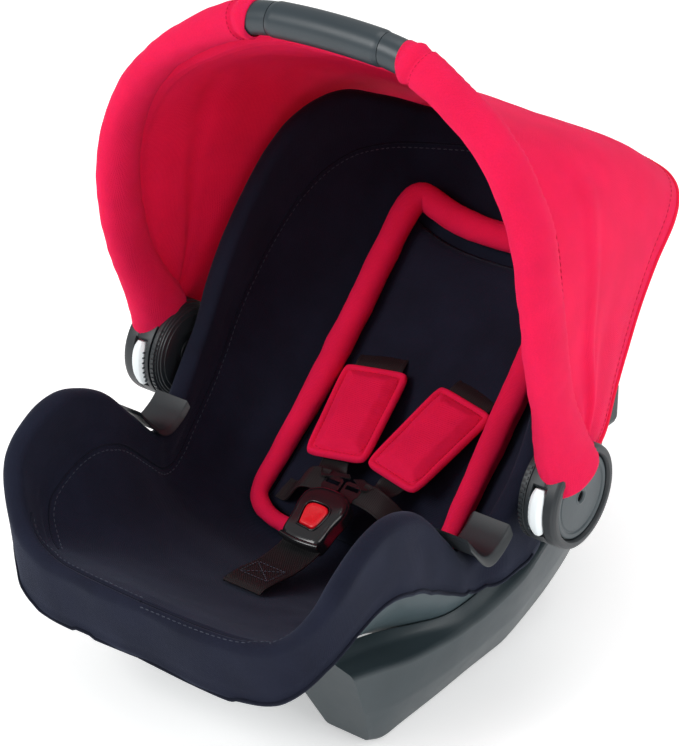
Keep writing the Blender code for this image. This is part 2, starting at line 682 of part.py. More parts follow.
def make_buckle():
    turn = (BUCKLE_TILT, 0, 0)
    outline = [(-21, -27), (21, -27), (22, -20), (24, -4), (26, 12), (23, 22), (12, 28), (-12, 28),
               (-23, 22), (-26, 12), (-24, -4), (-22, -20)]
    levels = ((-9, 0.92), (-7, 1.0), (5, 1.0), (8, 0.93), (9, 0.84))
    rings = [[buckle_point(x * s * MM, a * s * MM, up * MM) for x, a in outline] for up, s in levels]
    housing = loft("buckle_housing", rings, PLASTIC_GLOSS, smooth=False)
    cut(housing, box_mesh("button_well", (0.0240, 0.0240, 0.012), None, buckle_point(0, -2 * MM, 7.4 * MM),
                          turn, collection=CUTTERS))
    for side, word in SIDES:
        slot = box_mesh("tongue_slot_" + word, (0.0150, 0.024, 0.0040), None,
                        buckle_point(side * 10 * MM, 21 * MM, -2 * MM), turn, collection=CUTTERS)
        cut(housing, slot)
    cut(housing, box_mesh("webbing_slot", (0.0400, 0.014, 0.0032), None,
                          buckle_point(0, -24 * MM, -2 * MM), turn, collection=CUTTERS))

    trapezoid = [(-8, -11), (8, -11), (11, 4), (10.5, 9), (7, 11), (-7, 11), (-10.5, 9), (-11, 4)]
    levels = ((4.2, 1.0), (9.4, 1.0), (10.6, 0.9))
    rings = [[buckle_point(x * s * MM, (a * s - 2) * MM, up * MM) for x, a in trapezoid] for up, s in levels]
    loft("buckle_button", rings, PLASTIC_RED, smooth=False)

    for side, word in SIDES:
        plate = [(-7, 10.5), (7, 10.5), (7, 30), (9, 33), (9, 42), (7, 44), (-7, 44), (-9, 42), (-9, 33), (-7, 30)]
        rings = [[buckle_point((side * 10 + x * 0.97) * MM, a * MM, up * MM) for x, a in plate]
                 for up in (-3.4, -0.6)]
        tongue = loft("buckle_tongue_" + word, rings, PLASTIC_GLOSS, smooth=False)
        cut(tongue, box_mesh("tongue_eye_" + word, (0.0130, 0.0040, 0.008), None,
                             buckle_point(side * 10 * MM, 38.5 * MM, -2 * MM), turn, collection=CUTTERS))


def make_straps():
    crotch = [(0, -158, 94), (0, -150, 95.5), (0, -132, 93.5), (0, -110, 90)]
    points = [np.array(p) * MM for p in crotch] + [buckle_point(0, a * MM, -2 * MM) for a in (-31, -19)]
    ribbon("crotch_strap", points, 38 * MM, 1.8 * MM, WEBBING)
    for side, word in SIDES:
        top = on_cover(SLOT_ROW, side * 48 * MM, INSERT_LIFT + 4.5 * MM)
        under = np.array((side * 29, 4, 120)) * MM
        entry = buckle_point(side * 11 * MM, 50 * MM, -2 * MM)
        ribbon("shoulder_strap_" + word, [entry, (entry * 2 + under) / 3, under, (under + top) / 2, top],
               24 * MM, 1.6 * MM, WEBBING)
        pad_low = np.array((side * 30.5, 3, 123)) * MM
        pad_high = under + (top - under) * 0.9 + np.array((0, -1, 2)) * MM
        lift = unit(np.cross((1, 0, 0), pad_high - pad_low)) * 6.2 * MM
        points = [pad_low + (pad_high - pad_low) * t + lift for t in np.linspace(0, 1, 7)]
        ribbon("shoulder_pad_" + word, points, 58 * MM, 9 * MM, FABRIC_RED, round_ends=4 * MM)
        start = buckle_point(side * 21 * MM, 35 * MM, -2 * MM)
        bend = buckle_point(side * 38 * MM, 36 * MM, -7 * MM)
        hip = on_cover(HIP_ROW, side * 66 * MM, INSERT_LIFT + 4 * MM)
        ribbon("lap_strap_" + word, [start, bend, hip], 18 * MM, 1.6 * MM, WEBBING, side_axis=ALONG)


def make_adjuster():
    """Strap lock under the front flap: a body with a rocking cam lever."""
    box_mesh("adjuster_body", (0.034, 0.030, 0.0030), STEEL, (0, -0.170, 0.0790), (math.radians(-20), 0, 0))
    box_mesh("adjuster_lever", (0.024, 0.018, 0.0025), PLASTIC_GRIP, (0, -0.1690, 0.0847),
             (math.radians(-20), 0, 0))


def under_shell(u, drop):
    """A point outside the shell's back on the middle line."""
    depth = shell_depth(u) + SHELL_WALL + drop
    return spine_point(u) + depth * spine_normal(u)


def make_rear_webbing():
    """Behind the back: two shoulder webs to a steel yoke, and one web on to the adjuster."""
    yoke_u = 14.0
    middle = under_shell(yoke_u, 4 * MM)
    along = unit(under_shell(yoke_u + 0.3, 4 * MM) - under_shell(yoke_u - 0.3, 4 * MM))
    tilt = math.atan2(along[2], along[1])
    box_mesh("splitter_plate", (0.070, 0.022, 0.0022), STEEL, middle, (tilt, 0, 0), bevel=0.0008)
    points = [under_shell(u, 3 * MM) for u in np.linspace(7.0, 13.45, 14)]
    ribbon("adjuster_web", points, 24 * MM, 1.6 * MM, WEBBING)
    for side, word in SIDES:
        points = [under_shell(u, 3.2 * MM) + np.array((side * 22 * MM, 0, 0)) for u in np.linspace(14.62, 16.6, 6)]
        ribbon("rear_web_" + word, points, 24 * MM, 1.6 * MM, WEBBING)


def centre_on_origin():
    for obj in list(PARTS.objects) + list(CUTTERS.objects):
        obj.location.y += FRAME_SHIFT_Y


clear_scene()
PARTS = new_collection(COLLECTION)
CUTTERS = new_collection("cutters")
SIDES = ((1, "right"), (-1, "left"))
FABRIC_NAVY = make_material("fabric_navy", (0.012, 0.014, 0.026), 0.9)
FABRIC_RED = make_material("fabric_red", (0.80, 0.012, 0.085), 0.85)
PLASTIC_SHELL = make_material("plastic_shell", (0.085, 0.115, 0.125), 0.5)
PLASTIC_DARK = make_material("plastic_dark", (0.02, 0.025, 0.03), 0.45)
PLASTIC_HUB = make_material("plastic_hub", (0.05, 0.065, 0.07), 0.5)
PLASTIC_GRIP = make_material("plastic_grip", (0.035, 0.05, 0.06), 0.4)
PLASTIC_WHITE = make_material("plastic_white", (0.72, 0.78, 0.80), 0.35)
PLASTIC_GLOSS = make_material("plastic_gloss", (0.012, 0.012, 0.014), 0.15)
PLASTIC_RED = make_material("plastic_red", (0.75, 0.01, 0.02), 0.25)
WEBBING = make_material("webbing", (0.008, 0.008, 0.010), 0.8)
STEEL = make_material("steel", (0.6, 0.6, 0.62), 0.3, 1.0)
FOAM = make_material("foam", (0.75, 0.75, 0.75), 0.9)

make_rockers(make_bucket())
make_rear_hook()
make_belt_guides()
for hub_side, hub_word in SIDES:
    make_hub(hub_side, hub_word)
make_handle()
make_canopy()
make_insert()
make_buckle()
make_straps()
make_adjuster()
make_rear_webbing()
centre_on_origin()
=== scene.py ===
import math

import bmesh
import bpy
import numpy as np
from mathutils import Matrix, Vector, noise
from mathutils.bvhtree import BVHTree


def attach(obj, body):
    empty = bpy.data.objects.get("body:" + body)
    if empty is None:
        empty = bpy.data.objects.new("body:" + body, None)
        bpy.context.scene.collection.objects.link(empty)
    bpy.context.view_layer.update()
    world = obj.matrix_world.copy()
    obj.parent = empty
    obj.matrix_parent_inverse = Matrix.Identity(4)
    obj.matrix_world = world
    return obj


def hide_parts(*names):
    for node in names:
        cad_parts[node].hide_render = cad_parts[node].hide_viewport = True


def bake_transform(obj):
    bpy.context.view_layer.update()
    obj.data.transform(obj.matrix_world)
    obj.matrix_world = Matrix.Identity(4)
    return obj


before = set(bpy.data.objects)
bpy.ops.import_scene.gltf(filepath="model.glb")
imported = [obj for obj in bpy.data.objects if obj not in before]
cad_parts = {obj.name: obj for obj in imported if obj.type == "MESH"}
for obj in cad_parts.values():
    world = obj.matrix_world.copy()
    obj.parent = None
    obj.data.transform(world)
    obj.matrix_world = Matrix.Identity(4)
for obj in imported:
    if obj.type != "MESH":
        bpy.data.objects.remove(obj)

MM = 0.001
SHIFT_Y = -14.75                 # the hub frame's origin along the row frame's Y
HUB_Z = 182.0
SIDES = ((1, "right"), (-1, "left"))

# bucket: rim and spine of the right half, from the foot end's middle to the head end's middle
RIM = [(0, -284, 135), (60, -284, 136), (98, -281, 140), (128, -273, 153), (149, -260, 180),
       (159, -245, 207), (161, -213, 228), (160, -178, 231), (157, -140, 213), (157, -108, 178),
       (157, -80, 147), (160, -57, 150), (165, -35, 170), (168, -14, 195), (168, 5, 225),
       (168, 32, 273), (166, 72, 323), (158, 114, 363), (146, 165, 378), (129, 206, 366),
       (104, 243, 348), (60, 271, 334), (0, 282, 328)]
SPINE = [(-264, 142), (-257, 138), (-247, 132), (-231, 122), (-212, 112), (-192, 103), (-170, 95),
         (-148, 87), (-125, 79), (-101, 71), (-78, 64), (-56, 60), (-33, 60), (-6, 66), (24, 84),
         (58, 109), (94, 138), (130, 170), (165, 205), (197, 241), (221, 269), (238, 290), (247, 303)]
RIM_END = len(RIM) - 1
LIP = 9.0
COVER_THICK = 4.0
RIB_POWER = 0.77
SKIRT_ROWS = [0, 2, 3, 4, 5, 6, 7, 8, 9, 10, 11, 12, 13, 13.6, 14.4, 15.5, 22]
SKIRT = [40, 42, 44, 42, 46, 58, 68, 66, 45, 24, 32, 56, 78, 86, 20, 6, 4]
SHELL_WALL = 4.0
SHELL_DEPTHS = (10.0, 19.0)

ROCKER = [(-166, 6, -196, 88, 92, 134, 141), (-150, 1, -166, 82, 88, 137, 146),
          (-125, 0, -135, 77, 87, 137, 153), (-80, 0, -90, 75, 88, 138, 160),
          (-55, 0, -68, 77, 89, 138, 163), (-30, 0, -45, 80, 90, 138, 166),
          (12, 0, -5, 92, 94, 139, 171), (50, 10, 25, 108, 98, 140, 172),
          (85, 26, 50, 126, 103, 142, 175), (118, 48, 70, 146, 108, 143, 175),
          (138, 85, 82, 163, 114, 144, 174), (154, 127, 92, 183, 118, 144, 172),
          (169, 167, 102, 205, 122, 144, 170), (183, 200, 114, 230, 126, 144, 167),
          (199, 226, 135, 252, 130, 144, 163), (216, 272, 163, 286, 134, 142, 156)]
ROCKER_WALL = 3.0
ROCKER_RISE = 12.0
ROCKER_CLEAR = 5.5

ARM_PATH = [(205, -2, 200), (206, -14, 228), (209, -36, 280), (209, -49, 325), (206, -54, 370),
            (198, -53, 412), (183, -50, 447), (160, -46, 476), (130, -43, 499), (97, -40, 517),
            (72, -39, 526), (53.3, -39, 529.5)]
ARM_RADII = (9.0, 14.0)
GRIP_HALF = 53.0
GRIP_RADIUS = 13.5

HOOD_FRONT = ([(213, -2, 206), (212, 2, 232)] + [(x, y + 17, z) for x, y, z in ARM_PATH[2:]]
              + [(0, -22, 532)])
HOOD_MIDDLE = [(213, 4, 206), (205, 30, 244), (197, 46, 287), (193, 63, 330), (187, 81, 369),
               (178, 99, 400), (162, 112, 418), (134, 121, 427), (101, 131, 427), (74, 138, 425),
               (52, 142, 423), (0, 144, 421)]
HOOD_REAR = [(212, 10, 205), (197, 62, 202), (181, 106, 222), (171, 150, 264), (168, 182, 300),
             (166, 210, 326), (154, 236, 338), (133, 258, 341), (104, 278, 338), (75, 290, 335),
             (50, 296, 333), (0, 300, 332)]
HOOD_DROP = 23.0
HOOD_TUCK = 6.0
HOOD_LEAD = (0.0, 0.35, 0.7)
HOOD_LEAD_T = (-0.06, -0.04, -0.02)
FRONT_STITCH_ROW = len(HOOD_LEAD) + 4
STITCH_POINTS = 200

INSERT_ROWS = (11.9, 19.6)
INSERT_LIFT = 15.0
ROLL_RADIUS = 12.5
ROLL_THIN = 8.0
COVER_CLEAR = 3.0
SLOT_ROW = 16.35
HIP_ROW = 13.2

BUCKLE_AT = np.array((0.0, -57.0, 107.0))
BUCKLE_TILT = math.atan2(42, 84)
BUCKLE_SLIM = 0.9
ALONG = np.array((0.0, math.cos(BUCKLE_TILT), math.sin(BUCKLE_TILT)))
FACE = np.array((0.0, -math.sin(BUCKLE_TILT), math.cos(BUCKLE_TILT)))

CAMERA_AT = (1.108, -1.51975, 1.252)
CAMERA_AZIMUTH = math.radians(36.85)
CAMERA_ELEVATION = math.radians(28.89)
CAMERA_LENS = 125.5
GLOW_DEPTH = 0.006                # metres that light travels inside the red cloth
FLOOR_GLOW = 0.4
WORLD_STRENGTH = 0.55


# ------------------------------------------------------------------ materials
class Shader:
    """A node material built round its Principled BSDF."""

    def __init__(self, name, roughness, metallic=0.0):
        self.material = bpy.data.materials.new(name)
        self.material.use_nodes = True
        self.tree = self.material.node_tree
        self.surface = self.tree.nodes["Principled BSDF"]
        self.surface.inputs["Roughness"].default_value = roughness
        self.surface.inputs["Metallic"].default_value = metallic
        self.place = self.tree.nodes.new("ShaderNodeTexCoord").outputs["Object"]

    def node(self, kind, **values):
        node = self.tree.nodes.new(kind)
        for name, value in values.items():
            setattr(node, name, value)
        return node

    def link(self, source, target):
        self.tree.links.new(source, target)

    def noise(self, per_metre, detail=2.0, stretch=(1, 1, 1)):
        mapping = self.node("ShaderNodeMapping")
        mapping.inputs["Scale"].default_value = stretch
        self.link(self.place, mapping.inputs["Vector"])
        texture = self.node("ShaderNodeTexNoise")
        texture.inputs["Scale"].default_value = per_metre
        texture.inputs["Detail"].default_value = detail
        self.link(mapping.outputs["Vector"], texture.inputs["Vector"])
        return texture.outputs["Fac"]

    def threads(self, per_metre, direction):
        texture = self.node("ShaderNodeTexWave", wave_type="BANDS", bands_direction=direction)
        texture.inputs["Scale"].default_value = per_metre
        texture.inputs["Distortion"].default_value = 1.2
        texture.inputs["Detail"].default_value = 1.0
        self.link(self.place, texture.inputs["Vector"])
        return texture.outputs["Fac"]

    def math(self, operation, a, b):
        node = self.node("ShaderNodeMath", operation=operation)
        for socket, value in zip(node.inputs, (a, b)):
            if isinstance(value, (int, float)):
                socket.default_value = value
            else:
                self.link(value, socket)
        return node.outputs[0]

    def ramp(self, factor, low, high, start=0.35, end=0.65):
        node = self.node("ShaderNodeValToRGB")
        first, second = node.color_ramp.elements
        first.position, second.position = start, end
        first.color, second.color = (*low, 1), (*high, 1)
        self.link(factor, node.inputs["Fac"])
        return node.outputs["Color"]

    def color(self, source):
        self.link(source, self.surface.inputs["Base Color"])

    def bump(self, height, distance, strength=1.0):
        node = self.node("ShaderNodeBump")
        node.inputs["Distance"].default_value = distance
        node.inputs["Strength"].default_value = strength
        self.link(height, node.inputs["Height"])
        self.link(node.outputs["Normal"], self.surface.inputs["Normal"])

    def sheen(self, weight, roughness, tint):
        self.surface.inputs["Sheen Weight"].default_value = weight
        self.surface.inputs["Sheen Roughness"].default_value = roughness
        self.surface.inputs["Sheen Tint"].default_value = (*tint, 1)


def scaled(color, share):
    return tuple(share * c for c in color)


def woven(name, color, sheen, tint, roughness=0.85, threads=390.0, weave=0.00016, spread=0.16, glow=0.0):
    """Plain weave: crossed threads under a soft mottle, with fuzz that catches light at the edges."""
    shader = Shader(name, roughness)
    shader.surface.inputs["Specular IOR Level"].default_value = 0.12
    across = shader.threads(threads, "X")
    along = shader.threads(threads, "DIAGONAL")
    weft = shader.threads(threads, "Z")
    cloth = shader.math("ADD", shader.math("MULTIPLY", across, along), weft)
    mottle = shader.noise(28, 4.0)
    fine = shader.noise(900, 2.0)
    tone = shader.math("ADD", shader.math("MULTIPLY", mottle, 0.6), shader.math("MULTIPLY", fine, 0.4))
    shader.color(shader.ramp(tone, scaled(color, 1 - spread), scaled(color, 1 + spread)))
    creases = shader.math("MULTIPLY", shader.noise(45, 3.0, (1.0, 0.5, 0.5)), 3.0)
    shader.bump(shader.math("ADD", shader.math("ADD", cloth, fine), creases), weave, 0.8)
    shader.sheen(sheen, 0.45, tint)
    shader.surface.inputs["Subsurface Weight"].default_value = glow
    shader.surface.inputs["Subsurface Scale"].default_value = GLOW_DEPTH
    return shader.material


def moulded(name, color, roughness, grain=900.0, depth=0.00008, wear=0.10):
    """Moulded plastic with a fine spark-eroded grain and a little wear in its gloss."""
    shader = Shader(name, roughness)
    cloud = shader.noise(14, 3.0)
    shader.color(shader.ramp(cloud, scaled(color, 1 - wear), scaled(color, 1 + wear)))
    fine = shader.noise(grain, 2.0)
    gloss = shader.node("ShaderNodeMapRange")
    gloss.inputs["To Min"].default_value = roughness - 0.06
    gloss.inputs["To Max"].default_value = roughness + 0.06
    shader.link(shader.noise(60, 4.0), gloss.inputs["Value"])
    shader.link(gloss.outputs["Result"], shader.surface.inputs["Roughness"])
    shader.bump(fine, depth, 0.6)
    return shader.material


def webbing_material(name, color):
    """Seat-belt webbing: a herringbone of close ribs with a silky gloss."""
    shader = Shader(name, 0.5)
    ribs = shader.threads(420, "X")
    twill = shader.threads(300, "DIAGONAL")
    shader.color(shader.ramp(shader.noise(700, 2.0), scaled(color, 0.8), scaled(color, 1.25)))
    shader.bump(shader.math("ADD", ribs, twill), 0.0002, 0.9)
    shader.sheen(0.06, 0.3, (0.6, 0.65, 0.75))
    return shader.material


def metal(name, color, roughness):
    shader = Shader(name, roughness, 1.0)
    shader.color(shader.ramp(shader.noise(300, 3.0, (1, 12, 1)), scaled(color, 0.85), color))
    shader.bump(shader.noise(500, 2.0, (1, 14, 1)), 0.00004, 0.5)
    return shader.material


RED = (0.82, 0.010, 0.075)
NAVY = (0.0090, 0.0108, 0.0235)
FABRIC_RED = woven("woven_red", RED, 0.02, (1.0, 0.45, 0.55), spread=0.07, glow=0.35)
FABRIC_RED_BINDING = woven("woven_red_binding", (0.86, 0.012, 0.060), 0.02, (1.0, 0.5, 0.6), threads=420,
                           spread=0.05)
FABRIC_NAVY = woven("woven_navy", NAVY, 0.14, (0.42, 0.50, 0.68), spread=0.2)
FABRIC_NAVY_PIPING = woven("woven_navy_piping", scaled(NAVY, 0.7), 0.10, (0.4, 0.5, 0.65), threads=420)
THREAD_NAVY = woven("thread_navy", (0.035, 0.040, 0.058), 0.5, (0.5, 0.55, 0.7), threads=400)
THREAD_RED = woven("thread_red", (0.60, 0.006, 0.045), 0.1, (1.0, 0.5, 0.6), threads=400)
WEBBING = webbing_material("belt_webbing", (0.004, 0.004, 0.005))
SHELL = moulded("moulded_shell", (0.048, 0.074, 0.084), 0.42, wear=0.06)
ROCKER_SHELL = moulded("moulded_rocker", (0.022, 0.036, 0.043), 0.42, wear=0.06)
DARK = moulded("moulded_dark", (0.016, 0.021, 0.025), 0.45)
HUB = moulded("moulded_hub", (0.040, 0.056, 0.064), 0.42)
GRIP = moulded("moulded_grip", (0.022, 0.034, 0.042), 0.38)
WHITE = moulded("moulded_white", (0.86, 0.92, 0.94), 0.35, wear=0.04)
GLOSS = moulded("gloss_black", (0.010, 0.010, 0.012), 0.16, depth=0.00002)
BUTTON_RED = moulded("gloss_red", (0.74, 0.012, 0.022), 0.28, depth=0.00002, wear=0.04)
STEEL = metal("steel", (0.62, 0.62, 0.64), 0.3)
FOAM = moulded("bead_foam", (0.72, 0.72, 0.72), 0.9, grain=260, depth=0.0006)


# ------------------------------------------------------------------ geometry helpers
def place(points):
    """Hub frame in millimetres to the row frame in metres."""
    return (np.asarray(points, float) + (0.0, SHIFT_Y, 0.0)) * MM


def unit(vector):
    vector = np.asarray(vector, float)
    return vector / np.maximum(np.linalg.norm(vector, axis=-1, keepdims=True), 1e-12)


def spline(points, u):
    """Catmull-Rom through the points at each u, which runs from 0 to len(points) - 1."""
    points = np.asarray(points, float)
    last = len(points) - 1
    u = np.clip(np.atleast_1d(np.asarray(u, float)), 0, last)
    i = np.minimum(u.astype(int), last - 1)
    t = (u - i)[:, None]
    p0, p1, p2, p3 = points[np.maximum(i - 1, 0)], points[i], points[i + 1], points[np.minimum(i + 2, last)]
    return 0.5 * (2 * p1 + (p2 - p0) * t + (2 * p0 - 5 * p1 + 4 * p2 - p3) * t ** 2
                  + (3 * p1 - p0 - 3 * p2 + p3) * t ** 3)


def even(points, count, closed=False):
    """Points equally spaced by length along the spline through the points."""
    points = np.asarray(points, float)
    if closed:
        points = np.concatenate([points, points[:1]])
    dense = spline(points, np.linspace(0, len(points) - 1, 30 * len(points)))
    length = np.concatenate([[0], np.cumsum(np.linalg.norm(np.diff(dense, axis=0), axis=1))])
    marks = np.linspace(0, length[-1], count + 1 if closed else count)
    found = np.stack([np.interp(marks, length, dense[:, k]) for k in range(dense.shape[1])], axis=1)
    return found[:-1] if closed else found


def smooth_step(value, low, high):
    t = np.clip((np.asarray(value, float) - low) / (high - low), 0, 1)
    return t * t * (3 - 2 * t)


def ridge(distance, width):
    """1 on a line and 0 beyond width from it, with a round top."""
    return np.clip(1 - (np.asarray(distance, float) / width) ** 2, 0, 1) ** 2


def cloud(points, size, seed=0.0):
    """Smooth noise from -1 to 1, with lumps of about that size in millimetres (one per axis)."""
    size = np.broadcast_to(np.asarray(size, float), (3,))
    return np.array([noise.noise(Vector(tuple(p / size + seed))) for p in points])


def grid_faces(rows, columns, wrap_rows=False, wrap_columns=False):
    faces = []
    for r in range(rows if wrap_rows else rows - 1):
        for c in range(columns if wrap_columns else columns - 1):
            s, d = (r + 1) % rows, (c + 1) % columns
            faces.append((r * columns + c, r * columns + d, s * columns + d, s * columns + c))
    return faces


def weld(points, faces, tolerance=0.02):
    """Joins points at the same place. Returns points, faces and the first index of each kept point."""
    keys = np.round(np.asarray(points) / tolerance).astype(np.int64)
    _, first, where = np.unique(keys, axis=0, return_index=True, return_inverse=True)
    where = where.reshape(-1)
    kept = []
    for face in faces:
        ring = []
        for index in (int(where[i]) for i in face):
            if index not in ring:
                ring.append(index)
        if len(ring) > 2:
            kept.append(tuple(ring))
    return np.asarray(points)[first], kept, first


def point_normals(points, faces):
    normals = np.zeros_like(points)
    for face in faces:
        corner = points[list(face)]
        normal = np.cross(corner[2 % len(face)] - corner[0], corner[-1] - corner[1])
        normals[list(face)] += normal
    return unit(normals)


def add_mesh(name, points, faces, material, body, sharp=50.0):
    """A smooth-shaded mesh from points in millimetres, riding on a CAD body."""
    mesh = bpy.data.meshes.new(name)
    mesh.from_pydata([tuple(p) for p in place(points)], [], [tuple(f) for f in faces])
    bm = bmesh.new()
    bm.from_mesh(mesh)
    bmesh.ops.recalc_face_normals(bm, faces=bm.faces)
    bm.to_mesh(mesh)
    bm.free()
    mesh.materials.append(material)
    mesh.shade_smooth()
    mesh.set_sharp_from_angle(angle=math.radians(sharp))
    obj = bpy.data.objects.new(name, mesh)
    bpy.context.scene.collection.objects.link(obj)
    if body:
        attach(obj, body)
    return obj


def add_grid(name, grid, material, body, wrap_rows=False, wrap_columns=False, caps=False, sharp=50.0):
    grid = np.asarray(grid, float)
    rows, columns = grid.shape[:2]
    faces = grid_faces(rows, columns, wrap_rows, wrap_columns)
    if caps:
        faces.append(tuple(range(columns))[::-1])
        faces.append(tuple((rows - 1) * columns + c for c in range(columns)))
    points, faces, _ = weld(grid.reshape(-1, 3), faces)
    return add_mesh(name, points, faces, material, body, sharp)


def thicken(obj, thickness, offset=-1.0, round_edge=0.0):
    modifier = obj.modifiers.new("thickness", "SOLIDIFY")
    modifier.thickness = thickness * MM
    modifier.offset = offset
    if round_edge:
        rounding = obj.modifiers.new("rounding", "BEVEL")
        rounding.width = round_edge * MM
        rounding.segments = 2
    return obj


def cut(obj, cutter):
    modifier = obj.modifiers.new("cut_" + cutter.name, "BOOLEAN")
    modifier.operation = "DIFFERENCE"
    modifier.object = cutter
    apply_modifiers(obj)
    bpy.data.objects.remove(cutter, do_unlink=True)


def apply_modifiers(obj):
    bpy.context.view_layer.update()
    graph = bpy.context.evaluated_depsgraph_get()
    mesh = bpy.data.meshes.new_from_object(obj.evaluated_get(graph), depsgraph=graph)
    obj.modifiers.clear()
    obj.data = mesh


def sweep_frames(path, lift):
    """Direction, side and lift at each point of a path; lift is kept square to the path."""
    path = np.asarray(path, float)
    along = unit(np.gradient(path, axis=0))
    lift = np.broadcast_to(np.asarray(lift, float), path.shape)
    side = unit(np.cross(along, lift))
    return along, side, np.cross(side, along)


def tube(name, path, radius, material, body, sides=10, closed=False, lift=(0.0, -0.6, 0.8)):
    path = np.asarray(path, float)
    _, side, up = sweep_frames(path, lift)
    if closed:
        along = unit(np.roll(path, -1, axis=0) - np.roll(path, 1, axis=0))
        side = unit(np.cross(along, np.broadcast_to(np.asarray(lift, float), path.shape)))
        up = np.cross(side, along)
    radius = np.broadcast_to(np.asarray(radius, float), (len(path),))
    turn = np.linspace(0, math.tau, sides, endpoint=False)
    rings = (path[:, None] + radius[:, None, None]
             * (np.cos(turn)[None, :, None] * side[:, None] + np.sin(turn)[None, :, None] * up[:, None]))
    return add_grid(name, rings, material, body, wrap_rows=closed, wrap_columns=True, caps=not closed)


def stitches(name, path, normals, material, body, length=3.4, gap=1.8, width=0.8, proud=0.45):
    """A row of thread stitches along a path in millimetres."""
    path, normals = np.asarray(path, float), unit(normals)
    steps = np.linalg.norm(np.diff(path, axis=0), axis=1)
    run = np.concatenate([[0], np.cumsum(steps)])
    points, faces = [], []
    mark = gap
    while mark + length < run[-1]:
        ends = [np.array([np.interp(mark + length * t, run, path[:, k]) for k in range(3)]) for t in (0, 1)]
        up = unit(np.array([np.interp(mark, run, normals[:, k]) for k in range(3)]))
        along = unit(ends[1] - ends[0])
        side = np.cross(along, up)
        base = len(points)
        for t, share in ((0, 0.35), (0.25, 1.0), (0.75, 1.0), (1, 0.35)):
            here = ends[0] + (ends[1] - ends[0]) * t
            for a, b in ((-1, -0.6), (-0.7, 0.5), (0.7, 0.5), (1, -0.6)):
                points.append(here + side * a * width / 2 * share + up * (b * proud * share))
        for k in range(3):
            for c in range(3):
                low = base + 4 * k + c
                faces.append((low, low + 1, low + 5, low + 4))
        mark += length + gap
    return add_mesh(name, np.array(points), faces, material, body)


def turned(name, profile, material, body, side, steps=96, at=(0.0, HUB_Z)):
    """A profile of (radius, x) turned round a line along X; an open profile must end on the axis."""
    profile = np.asarray(profile, float)
    turn = np.linspace(0, math.tau, steps, endpoint=False)
    rings = np.stack([np.stack([np.full(steps, side * x), at[0] + r * np.cos(turn),
                                at[1] + r * np.sin(turn)],
                               axis=1) for r, x in profile])
    closed = profile[0][0] > 0.01 and profile[-1][0] > 0.01
    return add_grid(name, rings, material, body, wrap_rows=closed, wrap_columns=True, sharp=35.0)


def rounded_profile(points, radius, steps=4):
    """The closed outline with each corner turned into a small arc."""
    points = np.asarray(points, float)
    found = []
    for k, corner in enumerate(points):
        before, after = points[k - 1], points[(k + 1) % len(points)]
        reach = min(radius, 0.45 * np.linalg.norm(before - corner), 0.45 * np.linalg.norm(after - corner))
        a = corner + unit(before - corner) * reach
        b = corner + unit(after - corner) * reach
        for t in np.linspace(0, 1, steps):
            found.append((1 - t) ** 2 * a + 2 * t * (1 - t) * corner + t ** 2 * b)
    return np.array(found)


def surface_of(obj):
    """A lookup on the evaluated mesh of obj."""
    bpy.context.view_layer.update()
    return BVHTree.FromObject(obj, bpy.context.evaluated_depsgraph_get())


def drop_on(tree, points, directions, start=20.0, lift=0.0):
    """Points moved along their directions onto a surface, and the surface's normals there."""
    found, normals = [], []
    for point, direction in zip(np.asarray(points, float), unit(directions)):
        origin = Vector(place(point + direction * start))
        hit, normal, _, _ = tree.ray_cast(origin, Vector(-direction), 3 * start * MM)
        if hit is None:
            hit, normal, _, _ = tree.find_nearest(Vector(place(point)))
        normal = np.array(normal)
        normal = normal if np.dot(normal, direction) > 0 else -normal
        found.append(np.array(hit) / MM - (0, SHIFT_Y, 0) + normal * lift)
        normals.append(normal)
    return np.array(found), np.array(normals)


# ------------------------------------------------------------------ bucket surfaces
def rib_frames(u):
    """Rim, spine, up the wall, out across the lip, and away from the child, at each u."""
    u = np.atleast_1d(u)
    rim = spline(RIM, u)
    along = unit(spline(RIM, np.minimum(u + 0.05, RIM_END)) - spline(RIM, np.maximum(u - 0.05, 0)))
    spine = np.concatenate([np.zeros((len(u), 1)), spline(SPINE, u)], axis=1)
    ahead = spline(SPINE, np.minimum(u + 0.1, RIM_END)) - spline(SPINE, np.maximum(u - 0.1, 0))
    ahead = unit(ahead)
    back = np.stack([np.zeros(len(u)), ahead[:, 1], -ahead[:, 0]], axis=1)
    up = rim - spine
    up[:, 0] = 0
    up = unit(up)
    return rim, spine, up, unit(np.cross(along, up)), back


def rib_grid(u, angles, depth, across, short=0.0):
    rim, spine, up, out, back = rib_frames(u)
    depth, across, short = (np.broadcast_to(np.asarray(v, float), (len(u),))[:, None]
                            for v in (depth, across, short))
    low = spine + depth * back
    high = rim - (LIP + short) * up + across * out
    rise = 1 - np.clip(np.cos(angles), 0, 1) ** RIB_POWER
    grid = low[:, None] + (high - low)[:, None] * rise[None, :, None]
    grid[:, :, 0] = high[:, :1] * (np.sin(angles) ** RIB_POWER)[None]
    return grid


def hang_directions(u):
    _, _, up, _, _ = rib_frames(u)
    along_wall = np.clip((u - 3.0) / 3.0, 0, 1)[:, None]
    return unit(np.array((0.0, 0.0, -1.0)) * (1 - along_wall) - up * along_wall)


FACE_STEPS, LIP_STEPS, SKIRT_STEPS = 34, 10, 12


